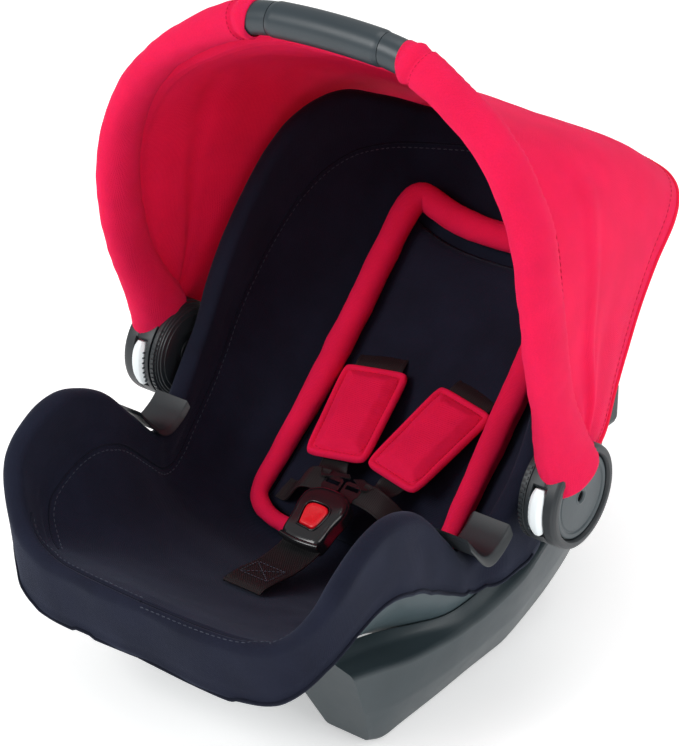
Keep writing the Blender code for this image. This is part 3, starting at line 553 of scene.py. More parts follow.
def cover_grid(u):
    """The cover's outside: v runs 0-1 over the seat face, 1-2 over the lip and 2-3 down the skirt."""
    rim, _, up, out, _ = rib_frames(u)
    face = rib_grid(u, np.linspace(0, math.pi / 2, FACE_STEPS + 1), 0.0, -LIP)
    hang = hang_directions(u)
    sweep = np.arctan2(np.maximum(np.sum(hang * out, axis=1), 0), np.sum(hang * up, axis=1))
    middle = rim - LIP * up
    turn = sweep[:, None] * np.arange(1, LIP_STEPS + 1)[None] / LIP_STEPS
    arc = middle[:, None] + LIP * (np.sin(turn)[:, :, None] * up[:, None] - np.cos(turn)[:, :, None]
                                   * out[:, None])
    drop = (np.interp(u, SKIRT_ROWS, SKIRT)[:, None, None]
            * np.arange(1, SKIRT_STEPS + 1)[None, :, None] / SKIRT_STEPS)
    skirt = arc[:, -1:] + drop * hang[:, None]
    grid = np.concatenate([face, arc, skirt], axis=1)
    v = np.concatenate([np.linspace(0, 1, FACE_STEPS + 1), 1 + np.arange(1, LIP_STEPS + 1) / LIP_STEPS,
                        2 + np.arange(1, SKIRT_STEPS + 1) / SKIRT_STEPS])
    return grid, v


def both_halves(grid):
    mirrored = (grid * (-1, 1, 1))[:, ::-1][:, :-1]
    return np.concatenate([mirrored, grid], axis=1)


def cover_normal(u, angle):
    step = 0.02
    here = [rib_grid(np.array([a]), np.array([b]), 0.0, -LIP)[0, 0] for a, b in
            ((u + step, angle), (u - step, angle), (u, angle + step), (u, max(angle - step, 1e-4)))]
    normal = unit(np.cross(here[2] - here[3], here[0] - here[1]))
    return normal if normal[2] > 0 else -normal


def on_cover(u, x, lift):
    """A point above the cover's face at width x."""
    high = rib_grid(np.array([u]), np.array([math.pi / 2]), 0.0, -LIP)[0, 0, 0]
    angle = max(math.asin(min(abs(x) / high, 1.0) ** (1 / RIB_POWER)), 1e-3)
    point = rib_grid(np.array([u]), np.array([angle]), 0.0, -LIP)[0, 0] + lift * cover_normal(u, angle)
    return np.array([math.copysign(point[0], x) if abs(x) > 1e-9 else 0.0, point[1], point[2]])


def cover_folds(points, u, v):
    """How far the fabric stands off its plain surface, in millimetres."""
    face = v < 1
    drape = 1.3 * cloud(points, (70, 60, 60)) + 0.5 * cloud(points, (26, 22, 22), 9.0)
    head = smooth_step(u, 16.5, 20.5) * face * smooth_step(v, 0.2, 0.6)
    drape += head * 2.6 * cloud(points, (34, 90, 16), 3.0)
    foot = smooth_step(-u, -4.5, -2.5) * smooth_step(v, 1.6, 2.2)
    drape += foot * 1.6 * cloud(points, (38, 60, 90), 5.0)
    wing = smooth_step(v, 1.9, 2.3) * smooth_step(u, 4, 6) * smooth_step(-u, -14, -12.5)
    drape += wing * 2.0 * cloud(points, (200, 26, 60), 7.0)
    seam_v = 0.86 - 0.10 * smooth_step(-u, -7, -3)
    double_seam = ridge(v - seam_v, 0.035) + ridge(v - seam_v - 0.055, 0.022)
    drape -= 1.6 * double_seam * smooth_step(u, 2.2, 3.2) * smooth_step(-u, -21.5, -19)
    edge_seam = ridge(v - 1.02, 0.12) * smooth_step(-u, -3.6, -2.6)
    drape -= 2.2 * edge_seam
    hem = ridge(v - 2.86, 0.05)
    drape -= 0.9 * hem
    notch = np.exp(-((u - 10.3) / 0.9) ** 2) * smooth_step(v, 0.55, 0.9) * smooth_step(-v, -2.0, -1.1)
    drape += notch * 1.8 * cloud(points, (90, 12, 12), 11.0)
    return drape


def make_cover():
    u = np.concatenate([np.linspace(0, 0.5, 6)[:-1], np.linspace(0.5, 21.5, 190)[:-1],
                        np.linspace(21.5, 22, 6)])
    grid, v = cover_grid(u)
    full = both_halves(grid)
    full[0, :, 0] = full[-1, :, 0] = 0
    all_v = np.concatenate([v[::-1][:-1], v])
    rows, columns = full.shape[:2]
    points, faces, first = weld(full.reshape(-1, 3), grid_faces(rows, columns))
    row, column = np.divmod(first, columns)
    normals = point_normals(points, faces)
    inward = np.array((0, 20, 250)) - points
    seat = (all_v[column] < 0.5)[:, None]
    if np.mean(np.sum(normals * inward, axis=1)[seat[:, 0]]) < 0:
        normals = -normals
    points = points + normals * cover_folds(points, u[row], all_v[column])[:, None]
    cover = add_mesh("cover_fabric", points, faces, FABRIC_NAVY, "seat_body", sharp=80)
    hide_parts("seat_cover")
    thicken(cover, COVER_THICK)
    return cover


def make_cover_seams(cover):
    tree = surface_of(cover)

    def seam(name, route, radius=1.3, stitched=True):
        """route: (u, v) pairs on the right half; the seam is mirrored."""
        for side, word in SIDES:
            found = even(route, 150)
            grid_points, directions = [], []
            for u, v in found:
                grid, all_v = cover_grid(np.array([u]))
                line = grid[0]
                here = np.array([np.interp(v, all_v, line[:, k]) for k in range(3)])
                if v <= 1:
                    direction = cover_normal(u, max(v, 0.02) * math.pi / 2)
                else:
                    middle = rib_frames(np.array([u]))[0][0] - LIP * rib_frames(np.array([u]))[2][0]
                    direction = unit(here - middle) if v < 2 else rib_frames(np.array([u]))[3][0]
                grid_points.append(here * (side, 1, 1))
                directions.append(direction * (side, 1, 1))
            on, normals = drop_on(tree, grid_points, directions, start=8.0)
            piece = tube(f"{name}_{word}", on, radius, FABRIC_NAVY_PIPING, "seat_body", sides=8,
                         lift=(0.3, -0.5, 0.8))
            if stitched:
                across = unit(np.cross(np.gradient(on, axis=0), normals))
                row, row_normals = drop_on(tree, on + across * 4.5, normals, start=6.0, lift=0.2)
                thread = stitches(f"{name}_stitches_{word}", row, row_normals, THREAD_NAVY, "seat_body")

    seam("foot_seam", [(0.02, 1.02), (1, 1.02), (2, 1.02), (3, 1.02), (3.6, 0.98)])
    seam("wing_seam", [(2.6, 0.78), (4, 0.77), (6, 0.80), (8, 0.86), (9.6, 0.86), (11, 0.87), (13, 0.87),
                       (16, 0.87), (19, 0.87), (21.2, 0.86)], radius=0.9)
    seam("hem_piping", [(0.02, 2.95), (3, 2.95), (5, 2.95), (7, 2.95), (9, 2.95), (11, 2.95), (13.2, 2.95)],
         radius=1.5, stitched=False)


def shell_grid(u, angles, extra):
    depth = SHELL_DEPTHS[0] + (SHELL_DEPTHS[1] - SHELL_DEPTHS[0]) * np.clip(
        (np.linalg.norm(rib_frames(u)[0] - rib_frames(u)[1], axis=1) - 40) / 70, 0, 1)
    at_end = np.interp(u, [2.0, 3.5], [1.0, 0.0])
    return rib_grid(u, angles, depth + extra, 5 * at_end - 2 + extra, 5.5 * at_end - 1.5)


def make_shell():
    u = np.linspace(0, RIM_END, 180)
    angles = np.linspace(0, math.pi / 2, 41)
    inside = both_halves(shell_grid(u, angles, 0.0))
    outside = both_halves(shell_grid(u, angles, SHELL_WALL))
    rows, columns = inside.shape[:2]
    faces = grid_faces(rows, columns)
    count = rows * columns
    faces += [tuple(count + i for i in face) for face in faces]
    for c in (0, columns - 1):
        faces += [(r * columns + c, (r + 1) * columns + c, count + (r + 1) * columns + c,
                   count + r * columns + c)
                  for r in range(rows - 1)]
    points, faces, _ = weld(np.concatenate([inside.reshape(-1, 3), outside.reshape(-1, 3)]), faces)
    shell = add_mesh("shell_moulding", points, faces, SHELL, "seat_body")
    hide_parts("outer_shell")
    return shell


def rocker_section(tree, station, wall):
    """Cross-section from the rocking edge up to the ridge and in to the shell."""
    yb, zb, yt, zt, inner, outer, top_outer = station
    open_side = 30.0 if wall else 0.0
    hit = tree.ray_cast(Vector(place((300, yt, zt + ROCKER_RISE))), Vector((-1, 0, 0)))[0]
    x_low, x_high, x_ridge = inner - open_side, outer - wall, top_outer - wall
    x_shell = min(hit.x / MM + ROCKER_CLEAR - 4.5, x_ridge - 5)
    ym, zm = yb + 0.45 * (yt - yb), zb + 0.45 * (zt - zb)
    lean = 16 * min(max((-80 - yb) / 60, 0.0), 1.0)
    return np.array([(x_low - lean, ym, zm), (x_low, yb, zb + wall), (x_high - 3, yb, zb + wall),
                     (x_high, yb + 0.04 * (yt - yb), zb + wall + 3), ((x_high + x_ridge) / 2 + 2, ym, zm),
                     (x_ridge, yt, zt - 3 - wall), (x_ridge - 3, yt, zt - wall),
                     (x_shell + 0.3 * (x_ridge - x_shell), yt, zt + 0.35 * ROCKER_RISE - wall),
                     (x_shell - open_side, yt, zt + ROCKER_RISE - wall)])


def make_rockers(shell):
    tree = surface_of(shell)
    last = len(ROCKER) - 1
    for side, word in SIDES:
        stations = spline(ROCKER, np.linspace(0, last, 90))
        stations[:, 1] = np.maximum(stations[:, 1], 0)
        rings = [rounded_profile(rocker_section(tree, s, 0.0), 3.0, 3) * (side, 1, 1) for s in stations]
        body = add_grid(f"rocker_moulding_{word}", rings, ROCKER_SHELL, None, wrap_columns=True,
                        caps=True, sharp=40)
        hollow_stations = spline(ROCKER, np.linspace(0.6, last - 0.6, 70))
        hollow_stations[:, 1] = np.maximum(hollow_stations[:, 1], 0)
        hollow = [rocker_section(tree, s, ROCKER_WALL) * (side, 1, 1) for s in hollow_stations]
        cut(body, add_grid(f"rocker_hollow_{word}", hollow, ROCKER_SHELL, None, wrap_columns=True,
                           caps=True))
        body.data.set_sharp_from_angle(angle=math.radians(35))
        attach(body, "seat_body")
        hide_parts(f"rocker_{word}")


def make_liner():
    u = np.linspace(16, 22, 40)
    angles = np.linspace(0, math.pi / 2 * 5 / 8, 14)
    grid = both_halves(rib_grid(u, angles, COVER_THICK + 3, -LIP * 0.4))
    liner = add_grid("liner_foam", grid, FOAM, "seat_body")
    thicken(liner, 6.0, offset=0.0)
    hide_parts("foam_liner")


# ------------------------------------------------------------------ hubs and belt parts
HUB_PROFILES = {
    # name: (CAD node, body, material, slot, (radius, x) outline)
    "hub_case": ("hub_housing", "handle", DARK, "plastic_dark",
                 [(6.4, 214.6), (36.4, 214.6), (36.4, 217.5), (37.6, 220), (41.2, 220), (43.2, 218.8),
                  (44, 216),
                  (44, 207.5), (43.2, 207), (43.2, 206), (44, 205.5), (44, 192), (41, 192), (41, 211),
                  (6.4, 211)]),
    "hub_disc": ("hub_cap", "handle", HUB, "plastic_hub",
                 [(4.2, 216.2), (5.4, 217.3), (6.6, 217.3), (7.2, 216.9), (28.6, 217.2), (29.2, 216.5),
                  (30.4, 216.5),
                  (31.0, 217.4), (33.6, 217.9), (35.4, 217.2), (35.4, 215.1), (4.2, 215.1)]),
    "hub_foot": ("hub_base", "seat_body", DARK, "plastic_dark",
                 [(6.4, 191), (43, 191), (43, 187.2), (41.2, 186.6), (41.2, 185.4), (39.6, 185.0),
                  (39.6, 183.9),
                  (37.6, 183.5), (37.6, 182.4), (34, 182), (34, 181), (20, 181), (19.4, 182.2), (12, 182.2),
                  (11.4, 181), (6.4, 181)]),
}


def hub_box(name, size, center, angle):
    """A block at (x, radius) from the hub axis, turned by angle from the -Y side."""
    x, radius = center
    corners = np.array([(a, b, c) for a in (-1, 1) for b in (-1, 1) for c in (-1, 1)]) * np.array(size) / 2
    points = corners + (x, -radius, 0)
    c, s = math.cos(angle), math.sin(angle)
    points = np.stack([points[:, 0], points[:, 1] * c + points[:, 2] * s,
                       -points[:, 1] * s + points[:, 2] * c + HUB_Z], axis=1)
    faces = [(0, 1, 3, 2), (4, 6, 7, 5), (0, 4, 5, 1), (2, 3, 7, 6), (0, 2, 6, 4), (1, 5, 7, 3)]
    return points, faces


def joined(boxes):
    points, faces = [], []
    for p, f in boxes:
        faces += [tuple(i + len(points) for i in face) for face in f]
        points += list(p)
    return np.array(points), faces


def make_hubs():
    for side, word in SIDES:
        mirror = (side, 1, 1)
        for name, (node, body, material, slot, outline) in HUB_PROFILES.items():
            piece = turned(f"{name}_{word}", rounded_profile(outline, 0.5, 3), material, None, side)
            if name == "hub_case":
                points, faces = hub_box("window", (13.4, 14, 45.6), (202.5, 43), 0.0)
                cut(piece, add_mesh("window_cutter", points * mirror, faces, DARK, None))
                piece.data.set_sharp_from_angle(angle=math.radians(35))
            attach(piece, body)
            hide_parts(f"{node}_{word}")
        make_button(side, word)
        ribs = [hub_box("rib", (3.4, 1.4, 2.2), (188.0, 43.2), math.radians(a)) for a in range(-50, 51, 6)]
        points, faces = joined(ribs)
        knurl = add_mesh(f"hub_foot_ribs_{word}", points * mirror, faces, DARK, "seat_body", sharp=30)
        pips = [hub_box("pip", (1.2, 2.4, 2.4), (180.7, 27), math.radians(a)) for a in range(-118, -60, 13)]
        points, faces = joined(pips)
        marks = add_mesh(f"hub_foot_pips_{word}", points * mirror, faces, WHITE, "seat_body", sharp=30)


def make_button(side, word):
    """Pale curved bar in the hub's front wall, chamfered, with finger ribs on its inner flank."""
    rings = []
    for t in np.linspace(-1, 1, 41):
        angle = math.radians(27.5) * t
        half = 6.2 - 2.4 * abs(t) ** 4
        proud = 47.2 - 1.6 * abs(t) ** 3
        outline = rounded_profile([(-half, 37.5), (-half, proud - 2.2), (-0.45 * half, proud),
                                   (0.45 * half, proud),
                                   (half, proud - 2.2), (half, 37.5)], 0.7, 3)
        rings.append([(side * (202.5 + x), -r * math.cos(angle), HUB_Z + r * math.sin(angle))
                      for x, r in outline])
    button = add_grid(f"button_bar_{word}", rings, WHITE, f"release_button_{word}", wrap_columns=True,
                      caps=True,
                      sharp=28)
    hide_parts(f"release_button_{word}")
    ladder = [hub_box("rung", (1.0, 4.6, 1.3), (196.4, 43.4), math.radians(a)) for a in range(-20, 21, 6)]
    points, faces = joined(ladder)
    rungs = add_mesh(f"button_ribs_{word}", points * (side, 1, 1), faces, HUB, f"release_button_{word}",
                     sharp=30)


def make_belt_guides():
    """Dark saddles over the rim notches with turned-down edges."""
    for side, word in SIDES:
        u = np.linspace(9.1, 11.5, 40)
        rim, _, up, _, _ = rib_frames(u)
        section = rounded_profile([(148, 3.2), (180, 3.2), (183.5, -2.5), (184.5, -1.5), (181, 6.9),
                                   (147, 6.9),
                                   (143.5, 1.5), (144.5, 0.5)], 1.4, 4)
        rings = [[(side * x, p[1] + h * w[1], p[2] + h * w[2]) for x, h in section]
                 for p, w in zip(rim, up)]
        guide = add_grid(f"belt_saddle_{word}", rings, DARK, "seat_body", wrap_columns=True, caps=True,
                         sharp=40)
        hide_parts(f"belt_guide_{word}")


# ------------------------------------------------------------------ handle and its sleeves
def arm_frames(path):
    along = unit(np.gradient(path, axis=0))
    along[-1] = (-1.0, 0.0, 0.0)
    across = unit(np.cross(along, (0.0, 1.0, 0.0)))
    return along, across, unit(np.cross(along, across))


def arm_section(path, turn, grow_across, grow_deep):
    """Ovals round the arm: across is the handle's width, deep is front to back."""
    _, across, deep = arm_frames(path)
    share = np.clip((210 - path[:, 0]) / 130, 0, 1)
    thin = ARM_RADII[0] + (GRIP_RADIUS - ARM_RADII[0]) * share + grow_across
    wide = ARM_RADII[1] + (GRIP_RADIUS - ARM_RADII[1]) * share + grow_deep
    return (path[:, None] + (thin[:, None] * np.cos(turn)[None])[:, :, None] * across[:, None]
            + (wide[:, None] * np.sin(turn)[None])[:, :, None] * deep[:, None])


def make_handle():
    turn = np.linspace(0, math.tau, 32, endpoint=False)
    path = even(ARM_PATH, 90)
    for side, word in SIDES:
        start = next(k for k, p in enumerate(path) if p[2] > HUB_Z + 44.6)
        arm = add_grid(f"arm_moulding_{word}", arm_section(path[start:], turn, 0, 0) * (side, 1, 1), GRIP,
                       "handle",
                       wrap_columns=True, caps=True)
        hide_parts(f"handle_arm_{word}")
    rings = []
    for t in np.linspace(-1, 1, 61):
        edge = smooth_step(abs(t), 0.93, 1.0)
        seam = 0.7 * ridge(abs(t) - 0.62, 0.012)
        radius = GRIP_RADIUS + 0.9 - 0.9 * edge - seam
        rings.append([(t * (GRIP_HALF - 0.3), -39 + radius * math.cos(a),
                       531.5 - 2 * t * t + radius * math.sin(a))
                      for a in np.linspace(0, math.tau, 40, endpoint=False)])
    grip = add_grid("grip_moulding", rings, GRIP, "handle", wrap_columns=True, caps=True, sharp=60)
    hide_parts("handle_grip")


SLEEVE_START_Z = 203.0           # the sleeve is pulled down over the hub's top
SLEEVE_END_X = 70.0


def sleeve_path():
    path = even([(210, 0, 196)] + ARM_PATH[1:], 260)
    return path[(path[:, 2] > SLEEVE_START_Z) & (path[:, 0] > SLEEVE_END_X)]


def make_sleeves():
    turn = np.linspace(0, math.tau, 48, endpoint=False)
    path = sleeve_path()
    length = np.concatenate([[0], np.cumsum(np.linalg.norm(np.diff(path, axis=0), axis=1))])
    t = length / length[-1]
    low = 1 - smooth_step(t, 0.0, 0.22)
    end = smooth_step(t, 0.965, 1.0)
    ease = 4.5 + 7.0 * low - 2.0 * smooth_step(t, 0.55, 0.9)
    ease_deep = ease + 4.0 * np.sin(math.pi * np.clip(t * 1.1, 0, 1)) + 3.0 * low
    for side, word in SIDES:
        grid = arm_section(path, turn, ease, ease_deep)
        middle = grid.mean(axis=1, keepdims=True)
        out = unit(grid - middle)
        flat = (grid * (side, 1, 1)).reshape(-1, 3)
        soft = 1.1 * cloud(flat, (34, 34, 34), 2.0) + 0.6 * cloud(flat, (12, 12, 12), 6.0)
        soft = soft.reshape(grid.shape[:2])
        hem = 1.6 * ridge(t - 0.985, 0.012) - 1.8 * ridge(t - 0.966, 0.008)
        inner_seam = np.cos(turn[None] - math.radians(250)) > 0.97
        pucker = 0.7 * np.sin(length[:, None] * 0.9 + 2 * np.sin(length[:, None] * 0.13))
        groove = -1.2 * inner_seam + pucker * np.exp(-((turn[None] - math.radians(250)) / 0.45) ** 2)
        swell = soft + hem[:, None] + groove - 1.5 * end[:, None]
        grid = grid + out * swell[:, :, None]
        sleeve = add_grid(f"sleeve_fabric_{word}", grid * (side, 1, 1), FABRIC_RED, "handle",
                          wrap_columns=True,
                          sharp=80)
        thicken(sleeve, 1.6)
        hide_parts(f"canopy_sleeve_{word}")
        ring = grid[np.argmin(abs(t - 0.958))]
        centre = ring.mean(axis=0)
        closed = np.concatenate([ring, ring[:1]]) * (side, 1, 1)
        normals = unit(closed - centre * (side, 1, 1))
        thread = stitches(f"sleeve_stitches_{word}", closed + normals * 0.15, normals, THREAD_RED,
                          "handle", 2.6, 1.4)


# ------------------------------------------------------------------ canopy
def hood_grid(rows, columns):
    """The hood from the handle (t = 0) to the head end (t = 1), right tip to left tip."""
    hoops = [spline(hoop, np.linspace(0, len(hoop) - 1, columns))
             for hoop in (HOOD_FRONT, HOOD_MIDDLE, HOOD_REAR)]
    raised = hoops[0].copy()
    hoops[0][:, 2] -= HOOD_DROP * np.clip((hoops[0][:, 2] - 370) / 130, 0, 1)
    lead = [raised + share * (hoops[0] - raised) - (0, HOOD_TUCK * (1 - share), 0) for share in HOOD_LEAD]
    t = np.linspace(0, 1, rows)
    grid = ((1 - t) * (1 - 2 * t))[:, None, None] * hoops[0] + (4 * t * (1 - t))[:, None, None] * hoops[1] \
        + (t * (2 * t - 1))[:, None, None] * hoops[2]
    rear = hoops[2]
    share = np.clip((np.linspace(0, 15, columns) - 8) / 3, 0, 1)[:, None]
    outward = share * np.clip(1 - (rear[:, :1] / 150) ** 2, 0, 1)
    away = rear - np.array((0, 60, 300))
    away[:, 2] = 0
    away = unit(away)
    hem = [rear + outward * away * out + share * np.array((0, 0, -down))
           for out, down in ((3.5, 5), (7, 12), (10, 20), (13.5, 30), (16, 40))]
    grid = np.concatenate([np.array(lead), grid, np.array(hem)])
    t = np.concatenate([HOOD_LEAD_T, t, 1 + np.arange(1, len(hem) + 1) / len(hem)])
    mirrored = (grid * (-1, 1, 1))[:, ::-1]
    s = np.linspace(0, 1, columns)
    return np.concatenate([grid, mirrored[:, 1:]], axis=1), t, np.concatenate([s, 2 - s[::-1][1:]])


def make_canopy():
    grid, t, s = hood_grid(70, 96)
    across = np.minimum(s, 2 - s)[None]          # 0 at a tip and 1 at the middle
    rows = t[:, None]
    du, dv = np.gradient(grid, axis=0), np.gradient(grid, axis=1)
    normals = unit(np.cross(du, dv))
    flip = np.sign(np.sum(normals * (grid - (0, 100, 200)), axis=2, keepdims=True))
    normals = normals * flip
    flat = grid.reshape(-1, 3)
    loose = np.sin(math.pi * np.clip(rows, 0, 1))
    soft = 1.6 * cloud(flat, (90, 80, 80), 1.0) + 0.5 * cloud(flat, (30, 26, 26), 4.0)
    soft = soft.reshape(grid.shape[:2]) * (0.25 + loose)
    tip = 1 - smooth_step(across, 0.05, 0.42)
    fan = 2.4 * np.sin(rows * 15 + 3.0 * across + 0.6) * tip * loose
    fold_line = 0.42 - 0.30 * across
    fold = (2.6 * ridge(rows - fold_line, 0.07) * smooth_step(across, 0.04, 0.12)
            * (1 - smooth_step(across, 0.4, 0.6)))
    front_seam = -1.6 * ridge(rows - 0.035, 0.022)
    hem = -0.9 * ridge(rows - 0.94, 0.02) * (across < 0.5) - 0.9 * ridge(rows - 1.72, 0.1)
    swell = soft + fan + fold + front_seam + hem
    grid = grid + normals * swell[:, :, None]
    canopy = add_grid("hood_fabric", grid, FABRIC_RED, None, sharp=80)
    fix_outward(canopy)
    thicken(canopy, 1.8)
    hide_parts("canopy")
    fold_with_handle(canopy)
    binding = make_binding(grid, normals)


def fix_outward(obj):
    """Faces of an open sheet looking away from the seat."""
    bm = bmesh.new()
    bm.from_mesh(obj.data)
    middle = Vector(place((0, 100, 200)))
    if sum((f.calc_center_median() - middle).dot(f.normal) for f in bm.faces) < 0:
        bmesh.ops.reverse_faces(bm, faces=bm.faces)
    bm.to_mesh(obj.data)
    bm.free()


def fold_with_handle(obj):
    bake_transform(obj)


def facing_along(row_normals, picked):
    """Normals for a stitched line that runs along the picked columns."""
    last = len(picked) - 1
    return np.array([row_normals[picked[min(int(k * len(picked) / STITCH_POINTS), last)]]
                     for k in range(STITCH_POINTS)])


def make_binding(grid, normals):
    """Bound edge along the hood's lower sides and stitched lines beside it."""
    made = []
    columns = grid.shape[1]
    last = grid.shape[0] - 6
    for word, picked in (("right", range(3, columns // 2)), ("left", range(columns - 4, columns // 2, -1))):
        edge = even(grid[last][list(picked)], 160)
        piece = tube(f"hood_binding_{word}", edge, 2.0, FABRIC_RED_BINDING, None, sides=10,
                     lift=(0, -0.7, 0.7))
        made.append(piece)
        row = last - 5
        line = even((grid[row] + normals[row] * 1.1)[list(picked)], STITCH_POINTS)
        facing = facing_along(normals[row], picked)
        made.append(stitches(f"hood_stitches_{word}", line, facing, THREAD_RED, None))
        front = even((grid[FRONT_STITCH_ROW] + normals[FRONT_STITCH_ROW] * 1.0)[list(picked)],
                     STITCH_POINTS)
        facing = facing_along(normals[FRONT_STITCH_ROW], picked)
        made.append(stitches(f"hood_front_stitches_{word}", front, facing, THREAD_RED, None))
    for piece in made:
        fold_with_handle(piece)
    return made


# ------------------------------------------------------------------ insert
def make_insert():
    low, high = INSERT_ROWS
    rows = np.linspace(low + 0.75, high - 0.6, 90)
    half = 98 - 12 - 2
    widths = np.linspace(-half, half, 61)
    top = np.array([[on_cover(u, x, 0.0) for x in widths] for u in rows])
    lift = np.array([[cover_normal(u, 0.4) for _ in widths] for u in rows])
    s = (widths / half)[None]
    t = np.linspace(-1, 1, len(rows))[:, None]
    crown = (1 - np.abs(s) ** 4) ** 0.5 * (1 - np.abs(t) ** 8) ** 0.5
    flat = top.reshape(-1, 3)
    soft = (1.1 * cloud(flat, (44, 50, 50), 3.0) + 0.4
            * cloud(flat, (15, 18, 18), 8.0)).reshape(top.shape[:2])
    centre_line = -1.2 * ridge(np.abs(s) - 0.36, 0.03) * smooth_step(-t, -0.4, 0.2)
    height = COVER_CLEAR + (INSERT_LIFT - COVER_CLEAR + 1.0) * crown + soft * crown + centre_line * crown
    slots = np.zeros(top.shape[:2])
    for x in (-48, 48):
        slots += ridge((widths[None] - x) / 20, 1.0) * ridge((rows[:, None] - SLOT_ROW) / 0.22, 1.0)
    height -= 3.0 * slots
    pad = add_grid("insert_pad", top + lift * height[:, :, None], FABRIC_NAVY, "seat_body", sharp=80)
    thicken(pad, 2.0)
    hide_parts("infant_insert")
    make_roll(low, high)
    make_slot_edges()


def make_roll(low, high):
    edge = [(low, 28), (low + 0.05, 66), (low + 0.5, 91), (low + 1.2, 97), (14.5, 97), (17, 96),
            (high - 0.6, 93), (high - 0.1, 80), (high, 45), (high, 0)]
    half_route = even([(u * 20, x) for u, x in edge], 120)
    route = [(u / 20, x) for u, x in half_route] + [(u / 20, -x) for u, x in half_route[::-1][1:]]
    fat = ROLL_THIN + (ROLL_RADIUS - ROLL_THIN) * smooth_step(np.array([u for u, _ in route]), low + 0.5,
                                                              low + 4.5)
    path = np.array([on_cover(u, x, r + COVER_CLEAR) for (u, x), r in zip(route, fat)])
    path = smooth_line(path, 6)
    run = np.concatenate([[0], np.cumsum(np.linalg.norm(np.diff(path, axis=0), axis=1))])
    _, side, up = sweep_frames(path, (0.0, -0.62, 0.78))
    turn = np.linspace(0, math.tau, 28, endpoint=False)
    ends = np.minimum(run, run[-1] - run)
    taper = np.sqrt(np.clip(ends / 16, 0.05, 1) * (2 - np.clip(ends / 16, 0.05, 1)))
    seam = ridge((np.mod(turn + math.pi, math.tau) - math.pi) - 0.0, 0.35)
    pucker = 0.8 * np.sin(run * 0.42 + 1.5 * np.sin(run * 0.045))
    radius = (fat * taper)[:, None] * np.ones(len(turn))[None]
    rings = path[:, None] + radius[:, :, None] * (np.cos(turn)[None, :, None] * side[:, None]
                                                 + 0.94 * np.sin(turn)[None, :, None] * up[:, None])
    flat = rings.reshape(-1, 3)
    soft = (0.9 * cloud(flat, (26, 26, 26), 5.0) + 0.4
            * cloud(flat, (9, 9, 9), 2.0)).reshape(rings.shape[:2])
    swell = soft + (pucker[:, None] - 1.4) * seam[None]
    rings = rings + unit(rings - path[:, None]) * swell[:, :, None]
    roll = add_grid("roll_padding", rings, FABRIC_RED, "seat_body", wrap_columns=True, caps=True, sharp=80)
    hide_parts("insert_roll")


def smooth_line(path, rounds):
    path = path.copy()
    for _ in range(rounds):
        path[1:-1] = (path[:-2] + 2 * path[1:-1] + path[2:]) / 4
    return path


def make_slot_edges():
    """Bound slots where the shoulder straps go through the insert."""
    for side, word in SIDES:
        centre = on_cover(SLOT_ROW, side * 48, INSERT_LIFT + 2.0)
        normal = cover_normal(SLOT_ROW, 0.4)
        along = unit(np.cross((1, 0, 0), normal))
        turn = np.linspace(0, math.tau, 48, endpoint=False)
        outline = [centre + np.array((1, 0, 0)) * math.copysign(abs(math.cos(a)) ** 0.35, math.cos(a)) * 22
                   + along * math.copysign(abs(math.sin(a)) ** 0.8, math.sin(a)) * 4.5 for a in turn]
        piece = tube(f"slot_edge_{word}", outline, 1.5, FABRIC_NAVY_PIPING, "seat_body", sides=8,
                     closed=True,
                     lift=tuple(normal))


# ------------------------------------------------------------------ harness
def buckle_point(x, along, up):
    return BUCKLE_AT + np.array((x, 0.0, 0.0)) + ALONG * along + FACE * up


def ribbon(name, points, width, thick, node, body="seat_body", side_axis=(1.0, 0.0, 0.0), waist=0.0):
    """Webbing along a route, with rolled edges and a slight bow across its width."""
    path = even(points, 70)
    along = unit(np.gradient(path, axis=0))
    side = np.broadcast_to(np.asarray(side_axis, float), path.shape)
    side = unit(side - along * np.sum(side * along, axis=1, keepdims=True))
    up = np.cross(side, along)
    up *= np.where(up[:, 2:3] < 0, -1, 1)
    t = np.linspace(0, 1, len(path))
    wide = width / 2 * (1 - waist * np.sin(math.pi * t))
    outline = [(a, 0.5 + 0.5 * ridge(abs(a) - 0.93, 0.09)) for a in np.linspace(-1, 1, 25)]
    section = [(a, h) for a, h in outline] + [(a, -h) for a, h in outline[::-1]]
    rings = [[p + s * a * w + n * (h * thick / 2 + 0.6 * (1 - a * a)) for a, h in section]
             for p, s, n, w in zip(path, side, up, wide)]
    piece = add_grid(name, rings, WEBBING, body, wrap_columns=True, caps=True, sharp=60)
    if node:
        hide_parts(node)
    return path, side, up


def box_stitch(name, centre, side, along, up, width, length, lift):
    """A sewn rectangle with a cross in it, on webbing."""
    corners = [centre + side * a * width / 2 + along * b * length / 2 + up * lift
               for a, b in ((-1, -1), (1, -1), (1, 1), (-1, 1), (-1, -1), (1, 1))]
    cross = [centre + side * a * width / 2 + along * b * length / 2 + up * lift
             for a, b in ((1, -1), (-1, 1))]
    for k, line in enumerate((corners, cross)):
        dense = np.concatenate([np.linspace(a, b, 12)[:-1] for a, b in zip(line, line[1:])] + [[line[-1]]])
        thread = stitches(f"{name}_{k}", dense, np.broadcast_to(up, dense.shape), THREAD_NAVY,
                          "seat_body", 2.4, 1.0,
                          0.7, 0.35)


